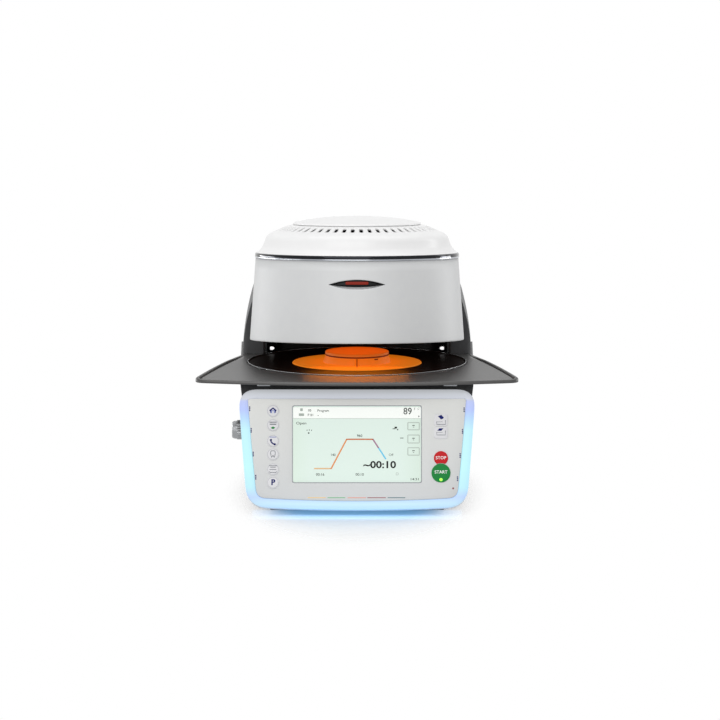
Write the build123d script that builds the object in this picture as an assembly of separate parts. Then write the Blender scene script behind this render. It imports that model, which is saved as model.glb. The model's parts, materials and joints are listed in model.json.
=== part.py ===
from build123d import *
import os
from math import acos, cos, pi, radians, sin, sqrt, tan

# Dental lab furnace, millimetres. +X right, +Y to the back, +Z up, origin on the table under the
# middle of the furnace. Base with a leaning control panel, cooling tray with the firing table,
# tower at the back, and a firing head that tilts open about a shaft in the tower.

# ---- driving dimensions -------------------------------------------------------------------------
# The firing head's radius and the tray's height set the widths, depths and heights of the rest.
overall_width = 395.0        # across the cooling tray's tips
skirt_foot_radius = 131.5    # the firing head's lower edge
tray_top_z = 165.0
chamber_setback = skirt_foot_radius + 72.5   # panel's foot to the axis of the firing chamber
hinge_setback = skirt_foot_radius + 48.5     # that axis to the hinge's
rear_reach = 56.0            # hinge's axis to the tower's back
overall_depth = chamber_setback + hinge_setback + rear_reach
front_y = -overall_depth / 2
rear_y = overall_depth / 2
chamber_y = front_y + chamber_setback

base_half = skirt_foot_radius + 11.5         # at the top
base_mid_half = base_half - 13.0             # the sides draw in towards the foot
base_foot_half = base_half - 37.0
foot_height = 6.0
foot_radius = 11.0
foot_side = base_foot_half - 14.0            # feet's centres to each side of the middle
foot_front_inset = 84.0      # front feet's centres behind the panel's foot
foot_rear_inset = 46.0
base_wall = 3.0
rear_setback = 12.0          # tower's back overhangs the rear panel by this
pan_thickness = 2.0
pan_flange = 14.0
fit_gap = 0.2                # between fixed pieces that slip together

tray_thickness = 4.4
tray_bow = 30.0              # how far the tray's front edge bows out of the line of its tips
tray_tip_setback = 38.0      # panel's foot to the line of the tips
tray_tip_radius = 12.0
tray_tip_round = 1.9         # what the tips' rounding takes off the half width
tray_neck_half = base_half - 4.3  # half width where the tray meets the tower
tray_side_bulge = 3.4
tray_bead_width = 5.0
tray_bead_height = 1.6
insert_radius = skirt_foot_radius + 2.7
insert_step = 0.8            # insert's floor below the tray's top
insert_rim = 0.9
notch_angle = 45.0           # finger notches, either side of the front
notch_width = 9.0
notch_reach = 7.0
notch_depth = 1.2

disc_radius = skirt_foot_radius - 52.1  # glowing insulation disc
disc_depth = 42.0
cup_wall = 1.5
cup_flange = 10.0
table_radius = 39.1
table_plate = 3.0
table_height = 13.4
pedestal_top = 37.2
pedestal_foot = 41.7
table_slot = 2.6
table_slot_depth = 3.0

panel_lean = 15.0
panel_foot_z = 9.0
panel_gap = 7.77              # panel's top below the tray
panel_length = (tray_top_z - tray_thickness - panel_gap - panel_foot_z) / cos(radians(panel_lean))
panel_top_half = base_half + 2.0
panel_mid_half = base_half - 3.1
panel_foot_half = base_half - 9.0
panel_foot_rise = 4.0
panel_top_radius = 20.0
panel_foot_radius = 20.5
panel_depth = 26.0
panel_wall = 2.5
light_band = 11.5
plate_corner = 2.0            # the face plate's two upper corners
light_depth = 8.0
plate_thickness = 3.0
screen_width = 2 * (panel_mid_half - 61.25)
screen_height = 0.6353 * panel_length
screen_centre = 0.546 * panel_length  # up the slope
screen_radius = 2.5
glass_thickness = 1.6
display_depth = 7.0
key_column = panel_mid_half - 37.4
key_radius = 0.0504 * panel_length
key_heights = [share * panel_length for share in (0.820, 0.703, 0.573, 0.462, 0.3385, 0.2277)]
head_key_width = 17.0
head_key_height = 0.1007 * panel_length
head_key_heights = [share * panel_length for share in (0.7448, 0.640)]
stop_height = 0.4305 * panel_length
stop_radius = 0.0578 * panel_length
start_height = 0.3076 * panel_length
start_radius = 0.0779 * panel_length
key_gap = 0.3
key_proud = 0.6
key_depth = 7.4              # from the panel's face to the key's back
key_travel = 0.8
board_thickness = 1.6
switch_gap = 0.3             # between a pressed key's stem and its board

hinge_y = chamber_y + hinge_setback
hinge_z = tray_top_z + 60.0
tower_top_z = hinge_z + 25.0
liner_radius = insert_radius + 2.3
liner_thickness = 2.0
tower_front = skirt_foot_radius - 54.5  # wings ahead of the chamber's axis line, towards the back
tower_half = base_half - 2.0
tower_mid_half = tower_half - 4.0
tower_mid_z = tray_top_z + 35.0
tower_crown_half = tower_half - 19.0
tower_back_half = tower_half - 17.0
tower_wall = 3.0
tower_corner = 34.0
tower_crown_radius = 12.0
channel_half = skirt_foot_radius - 62.5  # slot between the cheeks for the head's neck
channel_floor_z = tray_top_z + 22.0
channel_back = 14.0          # cheeks' common back wall box

shaft_radius = 8.0
shaft_clearance = 0.05
bush_radius = 11.5
bush_flange = 2.0
bracket_x = channel_half + 4.0
bracket_thickness = 4.0
bracket_width = 64.0
bracket_foot = 16.0
rest_open_deg = 5.0          # the head stands this far open at rest

skirt_bottom_z = tray_top_z + 12.0  # head closed
skirt_height = 101.0
skirt_top_radius = skirt_foot_radius - 7.0
skirt_wall = 2.0
trim_height = 5.2
trim_radius = skirt_top_radius + 0.9
top_wall = 3.0
cap_radius = skirt_top_radius - 45.6
cap_bottom = skirt_height + trim_height + 35.0
cap_top = cap_bottom + 10.6
vent_count = 56
vent_inner = cap_radius + 7.6
vent_outer = vent_inner + 11.0
vent_width = 4.6
head_plate_low = 1.0          # above the skirt's edge
head_plate_high = 4.0
seal_outer = skirt_foot_radius - 27.5
seal_inner = seal_outer - 6.0
seal_drop = 0.6               # the seal's lip below the skirt's edge
muffle_radius = 46.0
muffle_wall = 3.0
muffle_height = 72.0
coil_turns = 9
coil_wire = 1.5
insulation_radius = skirt_top_radius - 23.5
insulation_top = skirt_height - 2.0
barrel_radius = 34.0
barrel_half = channel_half - 3.0
neck_half = channel_half - 11.0
neck_bottom_z = hinge_z - 22.0
neck_top_z = hinge_z + 31.0
neck_wall = 5.0
neck_plate = 10.0
status_width = 70.0
status_height = 12.0
status_above = 0.715 * skirt_height   # centre of the recess above the skirt's bottom edge
lens_width = 33.0
lens_height = 4.0

gear_module = 1.25
sector_teeth = 84
pinion_teeth = 18
gear_width = 6.0
gear_x = bracket_x + 7.0
gear_backlash = 0.3
motor_radius = 16.0
motor_length = 58.0
rest_close_margin = 6.0     # gear teeth past each end of the travel
open_deg = 50.0              # further opening from rest

fan_size = 80.0
fan_depth = 22.0
fan_z = 92.0
fan_wall = 2.5
fan_hub = 16.0
fan_blades = 7
fan_x = 0.0
entry_x = base_foot_half - 17.0
entry_z = 50.0
entry_width = 50.0
entry_height = 34.0
entry_depth = 24.0           # of the inlet's body in front of the rear panel
rocker_half_width = 4.6
rocker_half_height = 9.5
rocker_deg = 7.0
ports_x = -(base_foot_half - 28.0)
ports_z = 46.0
coupling_y = chamber_y - 40.0
coupling_z = 86.0
coupling_radius = 12.0
coupling_x = base_mid_half
coupling_reach = 23.4

# ---- derived places -----------------------------------------------------------------------------
pan_z = foot_height
tray_bottom_z = tray_top_z - tray_thickness
base_top_z = tray_bottom_z
tilt_axis = Axis((0, hinge_y, hinge_z), (-1, 0, 0))
panel_frame = Plane(
    origin=(0, front_y, panel_foot_z),
    x_dir=(1, 0, 0),
    z_dir=(0, -cos(radians(panel_lean)), sin(radians(panel_lean))),
)


def slope_y(z, depth):
    """Y of the plane that lies depth behind the panel's face, at height z."""
    return front_y + depth / cos(radians(panel_lean)) + (z - panel_foot_z) * tan(radians(panel_lean))


def on_panel(shape):
    """Carry a shape drawn flat (X across, Y up the slope, Z out of the panel) to its place."""
    return panel_frame.location * shape


def tilted(shape):
    """Carry a head piece drawn closed to its rest place, a few degrees open."""
    return shape.rotate(tilt_axis, rest_open_deg)


def side_extrude(points, half_width):
    """Closed outline of (y, z) points as a slab, half_width to each side of the middle."""
    outline = Plane.YZ * make_face(Polyline(*points, close=True))
    return extrude(outline, half_width, both=True)


def turned(points, centre_y=chamber_y, base_z=0.0):
    """Closed outline of (radius, height) points turned about an upright axis."""
    outline = Plane.XZ * make_face(Polyline(*points, close=True))
    return Pos(0, centre_y, base_z) * revolve(outline, Axis.Z)


def upright(radius, low, high, x=0.0, y=chamber_y):
    """Upright cylinder between two heights."""
    return Pos(x, y, low) * Cylinder(radius, high - low, align=(Align.CENTER, Align.CENTER, Align.MIN))


def crossways(radius, low_x, high_x, y, z):
    """Cylinder along X between two places."""
    length = high_x - low_x
    return Pos((low_x + high_x) / 2, y, z) * Rot(0, 90, 0) * Cylinder(radius, length)


def block(low, high):
    """Box between two corners."""
    size = [high[i] - low[i] for i in range(3)]
    return Pos(*low) * Box(*size, align=(Align.MIN, Align.MIN, Align.MIN))


def mirrored(shape):
    """The shape and its copy on the other side of the middle plane."""
    return [shape, mirror(shape, Plane.YZ)]


# ---- base ---------------------------------------------------------------------------------------
def base_block(inset, low, high):
    """The base from the panel's back to the rear, swelling upwards, drawn in by inset."""
    profile = [
        (slope_y(low, panel_depth) + inset, low),
        (rear_y - inset, low),
        (rear_y - inset, high),
        (slope_y(high, panel_depth) + inset, high),
    ]
    body = side_extrude(profile, base_half)
    foot = (base_foot_half - inset, pan_z)
    mid = (base_mid_half - inset, (pan_z + base_top_z) / 2)
    top = (base_half - inset, base_top_z)
    right = ThreePointArc(foot, mid, top)
    left = ThreePointArc((-top[0], top[1]), (-mid[0], mid[1]), (-foot[0], foot[1]))
    front = make_face([Line((-foot[0], pan_z), foot), right, Line(top, (-top[0], base_top_z)), left])
    return body & (Pos(0, rear_y + 1, 0) * extrude(Plane.XZ * front, overall_depth + 2))


rear_plate = 2.0
rear_plate_y = rear_y - rear_setback
cup_radius = disc_radius + fit_gap + cup_wall
cup_bottom_z = tray_top_z - disc_depth - cup_wall
deck_bottom_z = base_top_z - base_wall
mechanism_front = hinge_y - bracket_width / 2 - 8.0
mechanism_half = bracket_x + 19.0


def feet():
    solids = []
    for x in (-foot_side, foot_side):
        for y in (front_y + foot_front_inset, rear_y - foot_rear_inset):
            solids.append(upright(foot_radius, 0, foot_height, x, y))
    return solids


def base_pan():
    inset = base_wall + fit_gap
    floor = base_block(inset, pan_z, pan_z + pan_flange)
    hollow = base_block(inset + pan_thickness, pan_z, pan_z + pan_flange)
    pan = floor - Pos(0, 0, pan_thickness) * hollow
    pan -= block((-base_half, rear_plate_y - fit_gap, pan_z), (base_half, rear_y, base_top_z))
    slot = Box(60.0, 4.0, 4 * pan_thickness)
    for row in range(6):
        for x in (-60.0, 60.0):
            pan -= Pos(x, front_y + 110.0 + row * 12.0, pan_z) * slot
    return pan


def base_housing():
    shell = base_block(0, pan_z, base_top_z) - base_block(base_wall, pan_z - base_wall, deck_bottom_z)
    shell -= upright(cup_radius + fit_gap, deck_bottom_z - 1, base_top_z + 1)
    shell -= block(
        (-mechanism_half, mechanism_front, deck_bottom_z - 1),
        (mechanism_half, rear_plate_y - 10.0, base_top_z + 1),
    )
    shell -= block((-base_half, rear_plate_y, pan_z - 1), (base_half, rear_y + 1, base_top_z + 1))
    shell += fairing()
    shell -= crossways(coupling_radius - 3.2, -2 * base_half, -coupling_x + 12, coupling_y, coupling_z)
    shell -= crossways(coupling_radius + fit_gap, -2 * base_half, -coupling_x - 1, coupling_y, coupling_z)
    return shell


def fairing():
    """Moulded swelling round the hose coupling, drawn out upwards."""
    foot = Plane((-coupling_x + 7, coupling_y, coupling_z + 10), x_dir=(0, 1, 0), z_dir=(-1, 0, 0))
    crown = Plane((-coupling_x - 5, coupling_y, coupling_z + 1), x_dir=(0, 1, 0), z_dir=(-1, 0, 0))
    wide = foot * Ellipse(coupling_radius + 6, coupling_radius + 18)
    return loft([wide, crown * Circle(coupling_radius + 2)])


def rear_panel():
    plate = base_block(0.4, pan_z, base_top_z)
    high = (base_half, rear_plate_y + rear_plate, base_top_z - fit_gap)
    plate &= block((-base_half, rear_plate_y, pan_z), high)
    plate -= Pos(fan_x, rear_plate_y, fan_z) * Rot(90, 0, 0) * Cylinder(fan_size / 2 - 4, 4 * rear_plate)
    for ring in range(1, 4):
        radius = ring * fan_size / 8
        hoop = Cylinder(radius + 1, rear_plate) - Cylinder(radius - 1, rear_plate)
        plate += Pos(fan_x, rear_plate_y + rear_plate / 2, fan_z) * Rot(90, 0, 0) * hoop
    spoke = Box(fan_size - 6, rear_plate, 2.5)
    for angle in (45, 135):
        plate += Pos(fan_x, rear_plate_y + rear_plate / 2, fan_z) * Rot(0, angle, 0) * spoke
    plate -= Pos(entry_x, rear_plate_y, entry_z) * Box(entry_width - 8, 4 * rear_plate, entry_height - 8)
    plate -= Pos(ports_x, rear_plate_y, ports_z) * Box(64, 4 * rear_plate, 18)
    for row in range(5):
        plate -= Pos(ports_x, rear_plate_y, ports_z + 40 + row * 9) * Box(50, 4 * rear_plate, 3.5)
    return plate


# ---- control panel ------------------------------------------------------------------------------
def panel_outline(inset, top_radius):
    """The panel's outline, drawn in by inset: bowed foot, swelling sides, rounded corners."""
    foot_half, foot_rise = panel_foot_half - inset, panel_foot_rise + inset
    mid_half, mid_height = panel_mid_half - inset, (panel_length + panel_foot_rise) / 2
    top_half, top_height = panel_top_half - inset, panel_length - inset
    foot = ThreePointArc((-foot_half, foot_rise), (0, inset), (foot_half, foot_rise))
    right = ThreePointArc((foot_half, foot_rise), (mid_half, mid_height), (top_half, top_height))
    top = Line((top_half, top_height), (-top_half, top_height))
    left = ThreePointArc((-top_half, top_height), (-mid_half, mid_height), (-foot_half, foot_rise))
    face = make_face([foot, right, top, left])
    face = fillet(face.vertices().sort_by(Axis.Y)[-2:], top_radius)
    return fillet(face.vertices().sort_by(Axis.Y)[:2], panel_foot_radius - inset)


def panel_slab(inset, back, front):
    """Slab of the panel's outline between two places along the panel's normal."""
    return Pos(0, 0, back) * extrude(panel_outline(inset, panel_top_radius - inset), front - back)


def plate_slab(inset, back, front):
    """Slab inside the light ring, with nearly square upper corners."""
    return Pos(0, 0, back) * extrude(panel_outline(inset, plate_corner), front - back)


board_back = key_depth + key_travel + switch_gap + board_thickness


def key_hole(x, height, radius):
    return Pos(x, height, -plate_thickness / 2) * Cylinder(radius + key_gap, 2 * plate_thickness)


def head_key_block(height, grow):
    width = head_key_width + 2 * grow
    body = Box(width, head_key_height + 2 * grow, 2 * plate_thickness)
    body = fillet(body.edges().filter_by(Axis.Z), 3.0)
    return Pos(key_column, height, -plate_thickness / 2) * body


def panel_housing():
    tub = panel_slab(0.6, -panel_depth, -light_depth - fit_gap)
    tub -= panel_slab(0.6 + panel_wall, -panel_depth + panel_wall, 0)
    tub -= Pos(0, screen_centre, -panel_depth) * Box(screen_width - 40, screen_height - 30, 6 * panel_wall)
    for x in (6.5 - key_column, key_column - 6.5):
        for height in (22.0, panel_length - 16):
            post_length = panel_depth - board_back
            tub += Pos(x, height, -panel_depth + post_length / 2) * Cylinder(4.0, post_length)
    return on_panel(tub)


def light_ring():
    return on_panel(panel_slab(0, -light_depth, 0) - plate_slab(light_band, -light_depth - 1, 1))


def face_plate():
    plate = plate_slab(light_band + fit_gap / 2, -plate_thickness, 0)
    frame = Box(screen_width, screen_height, 3 * plate_thickness)
    frame = fillet(frame.edges().filter_by(Axis.Z), screen_radius)
    plate -= Pos(0, screen_centre, 0) * frame
    for height in key_heights:
        plate -= key_hole(-key_column, height, key_radius)
    for height in head_key_heights:
        plate -= head_key_block(height, key_gap)
    plate -= key_hole(key_column, stop_height, stop_radius)
    plate -= key_hole(key_column, start_height, start_radius)
    return on_panel(plate)


def screen_glass():
    glass = Box(screen_width - fit_gap, screen_height - fit_gap, glass_thickness)
    glass = fillet(glass.edges().filter_by(Axis.Z), screen_radius)
    return on_panel(Pos(0, screen_centre, -0.4 - glass_thickness / 2) * glass)


def display_module():
    body = Box(screen_width + 6, screen_height + 6, display_depth)
    return on_panel(Pos(0, screen_centre, -plate_thickness - fit_gap / 2 - display_depth / 2) * body)


def panel_boards():
    """Key boards either side of the display, and the lamp strip behind the light ring."""
    solids = []
    height = panel_length - 34
    for x in (-key_column, key_column):
        board = Box(30.0, height, board_thickness)
        place = -board_back + board_thickness / 2
        solids.append(on_panel(Pos(x, panel_length / 2, place) * board))
    strip = panel_slab(4.2, -light_depth - fit_gap - board_thickness, -light_depth - fit_gap)
    strip -= panel_slab(light_band - 1.5, -light_depth - 9, 1)
    solids.append(on_panel(strip))
    return solids


def round_key(x, height, radius):
    """Button with a narrower stem that reaches the key board."""
    cap = Pos(x, height, (key_proud - plate_thickness) / 2) * Cylinder(radius, key_proud + plate_thickness)
    middle = -(plate_thickness + key_depth) / 2
    stem = Pos(x, height, middle) * Cylinder(radius * 0.6, key_depth - plate_thickness)
    return cap + stem


def stop_key():
    key = round_key(key_column, stop_height, stop_radius)
    room = Cylinder(start_radius + 2 * key_gap, 4 * key_depth)
    return on_panel(key - Pos(key_column, start_height, 0) * room)


def head_key(height):
    cap = Box(head_key_width, head_key_height, key_proud + plate_thickness)
    cap = fillet(cap.edges().filter_by(Axis.Z), 3.0)
    cap = Pos(key_column, height, (key_proud - plate_thickness) / 2) * cap
    stem = Box(head_key_width * 0.6, head_key_height * 0.6, key_depth - plate_thickness)
    return on_panel(cap + Pos(key_column, height, -(plate_thickness + key_depth) / 2) * stem)


# ---- tray and firing place ----------------------------------------------------------------------
tip_y = front_y + tray_tip_setback
neck_y = chamber_y + tower_front


def tray_outline(inset):
    """The tray's outline, drawn in by inset at its sides and front."""
    half = overall_width / 2 + tray_tip_round - inset
    neck_half = tray_neck_half - inset
    tip = tip_y + inset
    mid_y = (tip_y + neck_y) / 2
    mid_half = (half + neck_half) / 2 + tray_side_bulge
    front = ThreePointArc((-half, tip), (0, tip - tray_bow), (half, tip))
    right = ThreePointArc((half, tip), (mid_half, mid_y), (neck_half, neck_y))
    back = Line((neck_half, neck_y), (-neck_half, neck_y))
    left = ThreePointArc((-neck_half, neck_y), (-mid_half, mid_y), (-half, tip))
    face = make_face([front, right, back, left])
    return fillet(face.vertices().sort_by(Axis.Y)[:2], tray_tip_radius - inset)


def cooling_tray():
    plate = extrude(tray_outline(0), tray_thickness)
    disc = Pos(0, chamber_y, tray_thickness / 2) * Cylinder(liner_radius - fit_gap, tray_thickness)
    edge = extrude(tray_outline(0), tray_thickness + tray_bead_height)
    edge -= extrude(tray_outline(tray_bead_width), 4 * tray_thickness)
    edge &= side_extrude(
        [(tip_y - 4, 0), (neck_y - 14, 0), (neck_y - 14, tray_thickness), (tip_y - 4, 3 * tray_thickness)],
        overall_width,
    )
    tray = plate + disc + edge
    tray -= Pos(0, chamber_y, 0) * Cylinder(insert_radius + fit_gap, 4 * tray_thickness)
    for side in (-1, 1):
        angle = radians(-90 + side * notch_angle)
        place = Pos(insert_radius * cos(angle), chamber_y + insert_radius * sin(angle), tray_thickness)
        tray -= place * Rot(0, 0, side * notch_angle) * Box(notch_reach, notch_width, 2 * notch_depth)
    return Pos(0, 0, tray_bottom_z) * tray


def tray_insert():
    floor = tray_top_z - insert_step
    inner = disc_radius + fit_gap
    return turned([
        (inner, tray_bottom_z),
        (insert_radius, tray_bottom_z),
        (insert_radius, tray_top_z + 0.4),
        (insert_radius - insert_rim, tray_top_z + 0.4),
        (insert_radius - insert_rim - 0.8, floor),
        (inner, floor),
    ])


def tray_brackets():
    """Bright clips under the tray's front that hook it to the base."""
    solids = []
    clip_x = base_half - 29.0
    for x in (-clip_x, clip_x):
        front = slope_y(base_top_z, panel_depth)
        hook = block((x - 8, front - 14, tray_bottom_z - 2), (x + 8, front, tray_bottom_z))
        hook += block((x - 8, front - 2, tray_bottom_z - 12), (x + 8, front, tray_bottom_z))
        solids.append(hook - side_extrude(base_wedge(), base_half))
    return solids


def base_wedge():
    return [
        (slope_y(pan_z, panel_depth), pan_z),
        (rear_y, pan_z),
        (rear_y, base_top_z),
        (slope_y(base_top_z, panel_depth), base_top_z),
    ]


def insulation_disc():
    low = cup_bottom_z + cup_wall
    return upright(disc_radius, low, tray_top_z) - upright(5.0, low - 1, low + disc_depth / 2)


def insulation_cup():
    inner = cup_radius - cup_wall
    cup = turned([
        (6.0, cup_bottom_z),
        (cup_radius, cup_bottom_z),
        (cup_radius, deck_bottom_z - cup_wall),
        (cup_radius + cup_flange, deck_bottom_z - cup_wall),
        (cup_radius + cup_flange, deck_bottom_z),
        (inner, deck_bottom_z),
        (inner, cup_bottom_z + cup_wall),
        (6.0, cup_bottom_z + cup_wall),
    ])
    return cup


def firing_table():
    plate_z = table_height - table_plate
    table = turned(
        [
            (0, 0), (pedestal_foot, 0), (pedestal_foot - 1.2, 2.5), (pedestal_top, plate_z),
            (table_radius, plate_z), (table_radius, table_height - 0.6),
            (table_radius - 0.6, table_height), (0, table_height),
        ],
        base_z=tray_top_z,
    )
    slot_y = chamber_y - pedestal_foot
    slot = block(
        (-table_slot / 2, slot_y - 1, tray_top_z - 1),
        (table_slot / 2, slot_y + table_slot_depth + 3, tray_top_z + plate_z),
    )
    return table - slot


# ---- tower --------------------------------------------------------------------------------------
def tower_form(inset):
    """Tower's outer form drawn in by inset: plan, front and side outlines meeting."""
    low = base_top_z
    half = tower_half - inset
    top = tower_top_z - inset
    back = rear_y - 3.0 - inset
    front = neck_y + inset
    mid_y = (front + back) / 2
    right = ThreePointArc((half, front), (half - 3, mid_y), (tower_back_half - inset, back))
    rear = Line((tower_back_half - inset, back), (-tower_back_half + inset, back))
    left = ThreePointArc((-tower_back_half + inset, back), (-half + 3, mid_y), (-half, front))
    plan = make_face([Line((-half, front), (half, front)), right, rear, left])
    plan = fillet(plan.vertices().sort_by(Axis.Y)[-2:], tower_corner - inset)
    plan = fillet(plan.vertices().sort_by(Axis.Y)[:2], 6.0)
    body = Pos(0, 0, low) * extrude(plan, top - low)
    crown = tower_crown_half - inset
    right_front = ThreePointArc(
        (half, low), (tower_mid_half - inset, tower_mid_z), (crown, top)
    )
    left_front = ThreePointArc(
        (-crown, top), (-tower_mid_half + inset, tower_mid_z), (-half, low)
    )
    front_face = make_face([
        Line((-half, low), (half, low)), right_front, Line((crown, top), (-crown, top)), left_front,
    ])
    front_face = fillet(front_face.vertices().sort_by(Axis.Y)[-2:], tower_crown_radius)
    body &= Pos(0, rear_y, 0) * extrude(Plane.XZ * front_face, overall_depth)
    side_face = make_face(Polyline((front, low), (back, low), (back, top), (front, top), close=True))
    side_face = fillet(side_face.vertices().sort_by(Axis.Y)[-2:], 16.0)
    body &= extrude(Plane.YZ * side_face, base_half, both=True)
    return body - upright(liner_radius + liner_thickness + fit_gap + inset, low - 1, tower_top_z + 1)


def channel(grow):
    """Slot between the cheeks, in which the head's neck and barrel swing."""
    return block(
        (-channel_half - grow, chamber_y + liner_radius - 46.5, channel_floor_z - grow),
        (channel_half + grow, rear_y - channel_back + grow, tower_top_z + 10),
    )


def tower_shell():
    inner = tower_form(tower_wall) - channel(tower_wall)
    shell = tower_form(0) - Pos(0, 0, -0.01) * inner - channel(0)
    shell -= crossways(bush_radius + 3.4, -bracket_x - 1, bracket_x + 1, hinge_y, hinge_z)
    shell -= block((-back_half, rear_y - 7, back_low_z), (back_half, rear_y, back_high_z))
    return shell


back_half = channel_half + 9.0
back_low_z = tray_top_z + 7
back_high_z = channel_floor_z + 48


def tower_back():
    low = (-back_half + fit_gap, rear_y - 3 - tower_wall, back_low_z + fit_gap)
    high = (back_half - fit_gap, rear_y - 1.5, back_high_z - fit_gap)
    plate = block(low, high)
    plate = fillet(plate.edges().filter_by(Axis.Y), 4.0)
    plate = chamfer(plate.faces().sort_by(Axis.Y)[-1].edges(), 1.0)
    rib = block((-back_half + 8, rear_y - 2, back_low_z + 6), (back_half - 8, rear_y, back_low_z + 8))
    for row in range(3):
        plate += Pos(0, 0, row * 3.4) * rib
    for row in range(4):
        for x in (-34.0, 34.0):
            plate -= Pos(x, rear_y - 3, back_low_z + 26 + row * 8) * Box(48, 12, 3.2)
    return plate


def tower_liner():
    tube = upright(liner_radius + liner_thickness, tray_top_z + fit_gap, tower_top_z - 5)
    tube -= upright(liner_radius, tray_top_z - 1, tower_top_z)
    tube -= block((-base_half, front_y, 0), (base_half, neck_y + 2.5, tower_top_z))
    tube -= channel(0)
    return tube


# ---- hinge and drive ----------------------------------------------------------------------------
centre_distance = gear_module * (sector_teeth + pinion_teeth) / 2 + 0.1
pinion_z = hinge_z - centre_distance
plate_top_z = hinge_z + 20.0
plate_low_z = pan_z + pan_thickness


def bracket_plate():
    low = (bracket_x, hinge_y - bracket_width / 2, plate_low_z)
    plate = block(low, (bracket_x + bracket_thickness, hinge_y + bracket_width / 2, plate_top_z))
    plate += block(low, (bracket_x + bracket_foot, low[1] + bracket_width, plate_low_z + bracket_thickness))
    plate = fillet(plate.edges().filter_by(Axis.X).group_by(Axis.Z)[-1], 16.0)
    plate -= crossways(bush_radius, bracket_x - 1, bracket_x + bracket_thickness + 1, hinge_y, hinge_z)
    return plate


def hinge_brackets():
    right = bracket_plate()
    left = mirror(right, Plane.YZ)
    right -= crossways(7.0, bracket_x - 1, bracket_x + bracket_thickness + 1, hinge_y, pinion_z)
    notch_low = (bracket_x - 1, rear_plate_y - entry_depth - 4.0, entry_z - entry_height / 2 - 3.0)
    notch_high = (bracket_x + bracket_foot, rear_plate_y, entry_z + entry_height / 2 + 3.0)
    right -= block(notch_low, notch_high)
    return [right, left]


def hinge_bushes():
    bush = crossways(bush_radius, bracket_x, bracket_x + bracket_thickness, hinge_y, hinge_z)
    bush += crossways(bush_radius + 3, bracket_x - bush_flange + 0.6, bracket_x, hinge_y, hinge_z)
    bush -= crossways(shaft_radius + shaft_clearance, 0, 2 * bracket_x, hinge_y, hinge_z)
    return mirrored(bush)


def hinge_shaft():
    low_x = -bracket_x - bracket_thickness - 6
    shaft = crossways(shaft_radius, low_x, gear_x + gear_width + 6, hinge_y, hinge_z)
    return chamfer(shaft.edges().filter_by(GeomType.CIRCLE), 0.8)


def tooth(teeth):
    """One involute tooth about the +X direction, as a closed outline at 20 degrees of pressure."""
    pitch = gear_module * teeth / 2
    base = pitch * cos(radians(20))
    tip = pitch + 0.95 * gear_module
    root = pitch - 1.2 * gear_module
    half_pitch = pi / (2 * teeth) - gear_backlash / 4 / pitch + involute(pitch, base)
    flank = []
    steps = 5
    start = max(base, root)
    for step in range(steps + 1):
        radius = start + (tip - start) * step / steps
        flank.append((radius, half_pitch - involute(radius, base)))
    points = [(root - 0.5, flank[0][1])] + flank
    upper = [(r * cos(a), r * sin(a)) for r, a in points]
    lower = [(x, -y) for x, y in reversed(upper)]
    return make_face(Polyline(*upper, *lower, close=True))


def involute(radius, base):
    """Angle by which an involute has turned where it reaches a radius."""
    if radius <= base:
        return 0.0
    roll = sqrt(radius * radius - base * base) / base
    return roll - acos(base / radius)


def gear_place(y, z):
    """Frame of a gear: its flat outline's X points to the back and its Y up."""
    return Plane(origin=(gear_x, y, z), x_dir=(0, 1, 0), z_dir=(1, 0, 0))


def sector_gear():
    pitch = gear_module * sector_teeth / 2
    root = pitch - 1.2 * gear_module
    low_deg = -90 - rest_open_deg - rest_close_margin
    high_deg = -90 + open_deg + rest_close_margin
    step_deg = 360 / sector_teeth
    first = int((low_deg + 90) / step_deg)
    last = int((high_deg + 90) / step_deg)
    wedge_points = [(0, 0)]
    for k in range(first * 2, last * 2 + 1):
        angle = radians(-90 + k * step_deg / 2)
        wedge_points.append((2 * pitch * cos(angle), 2 * pitch * sin(angle)))
    web = make_face(Polyline(*wedge_points, close=True)) & Circle(root)
    web += Circle(shaft_radius + 8)
    gear = extrude(web, gear_width)
    for k in range(first, last):
        gear += Rot(0, 0, -90 + (k + 0.5) * step_deg) * extrude(tooth(sector_teeth), gear_width)
    gear -= Cylinder(shaft_radius, 4 * gear_width)
    return gear_place(hinge_y, hinge_z).location * gear


def drive_pinion():
    root = gear_module * pinion_teeth / 2 - 1.2 * gear_module
    gear = extrude(Circle(root), gear_width)
    for k in range(pinion_teeth):
        gear += Rot(0, 0, 90 + k * 360 / pinion_teeth) * extrude(tooth(pinion_teeth), gear_width)
    gear -= Cylinder(3.0 + shaft_clearance, 4 * gear_width)
    return gear_place(hinge_y, pinion_z).location * gear


def gear_motor():
    motor = crossways(motor_radius, bracket_x - motor_length, bracket_x, hinge_y, pinion_z)
    motor = fillet(motor.edges().filter_by(GeomType.CIRCLE).sort_by(Axis.X)[0], 2.0)
    motor += crossways(6.0, bracket_x, bracket_x + bracket_thickness, hinge_y, pinion_z)
    motor += crossways(3.0, bracket_x, gear_x + gear_width + 3, hinge_y, pinion_z)
    motor += crossways(5.0, bracket_x - motor_length - 6, bracket_x - motor_length, hinge_y, pinion_z)
    return motor


# ---- head, drawn closed -------------------------------------------------------------------------
skirt_low = skirt_bottom_z
trim_low = skirt_height
trim_high = skirt_height + trim_height


def skirt_radius_at(height):
    share = height / skirt_height
    return skirt_foot_radius + (skirt_top_radius - skirt_foot_radius) * share


def neck_passage(grow):
    return block(
        (-neck_half - grow, chamber_y + insulation_radius, neck_bottom_z - grow),
        (neck_half + grow, hinge_y, neck_top_z + grow),
    )


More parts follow.
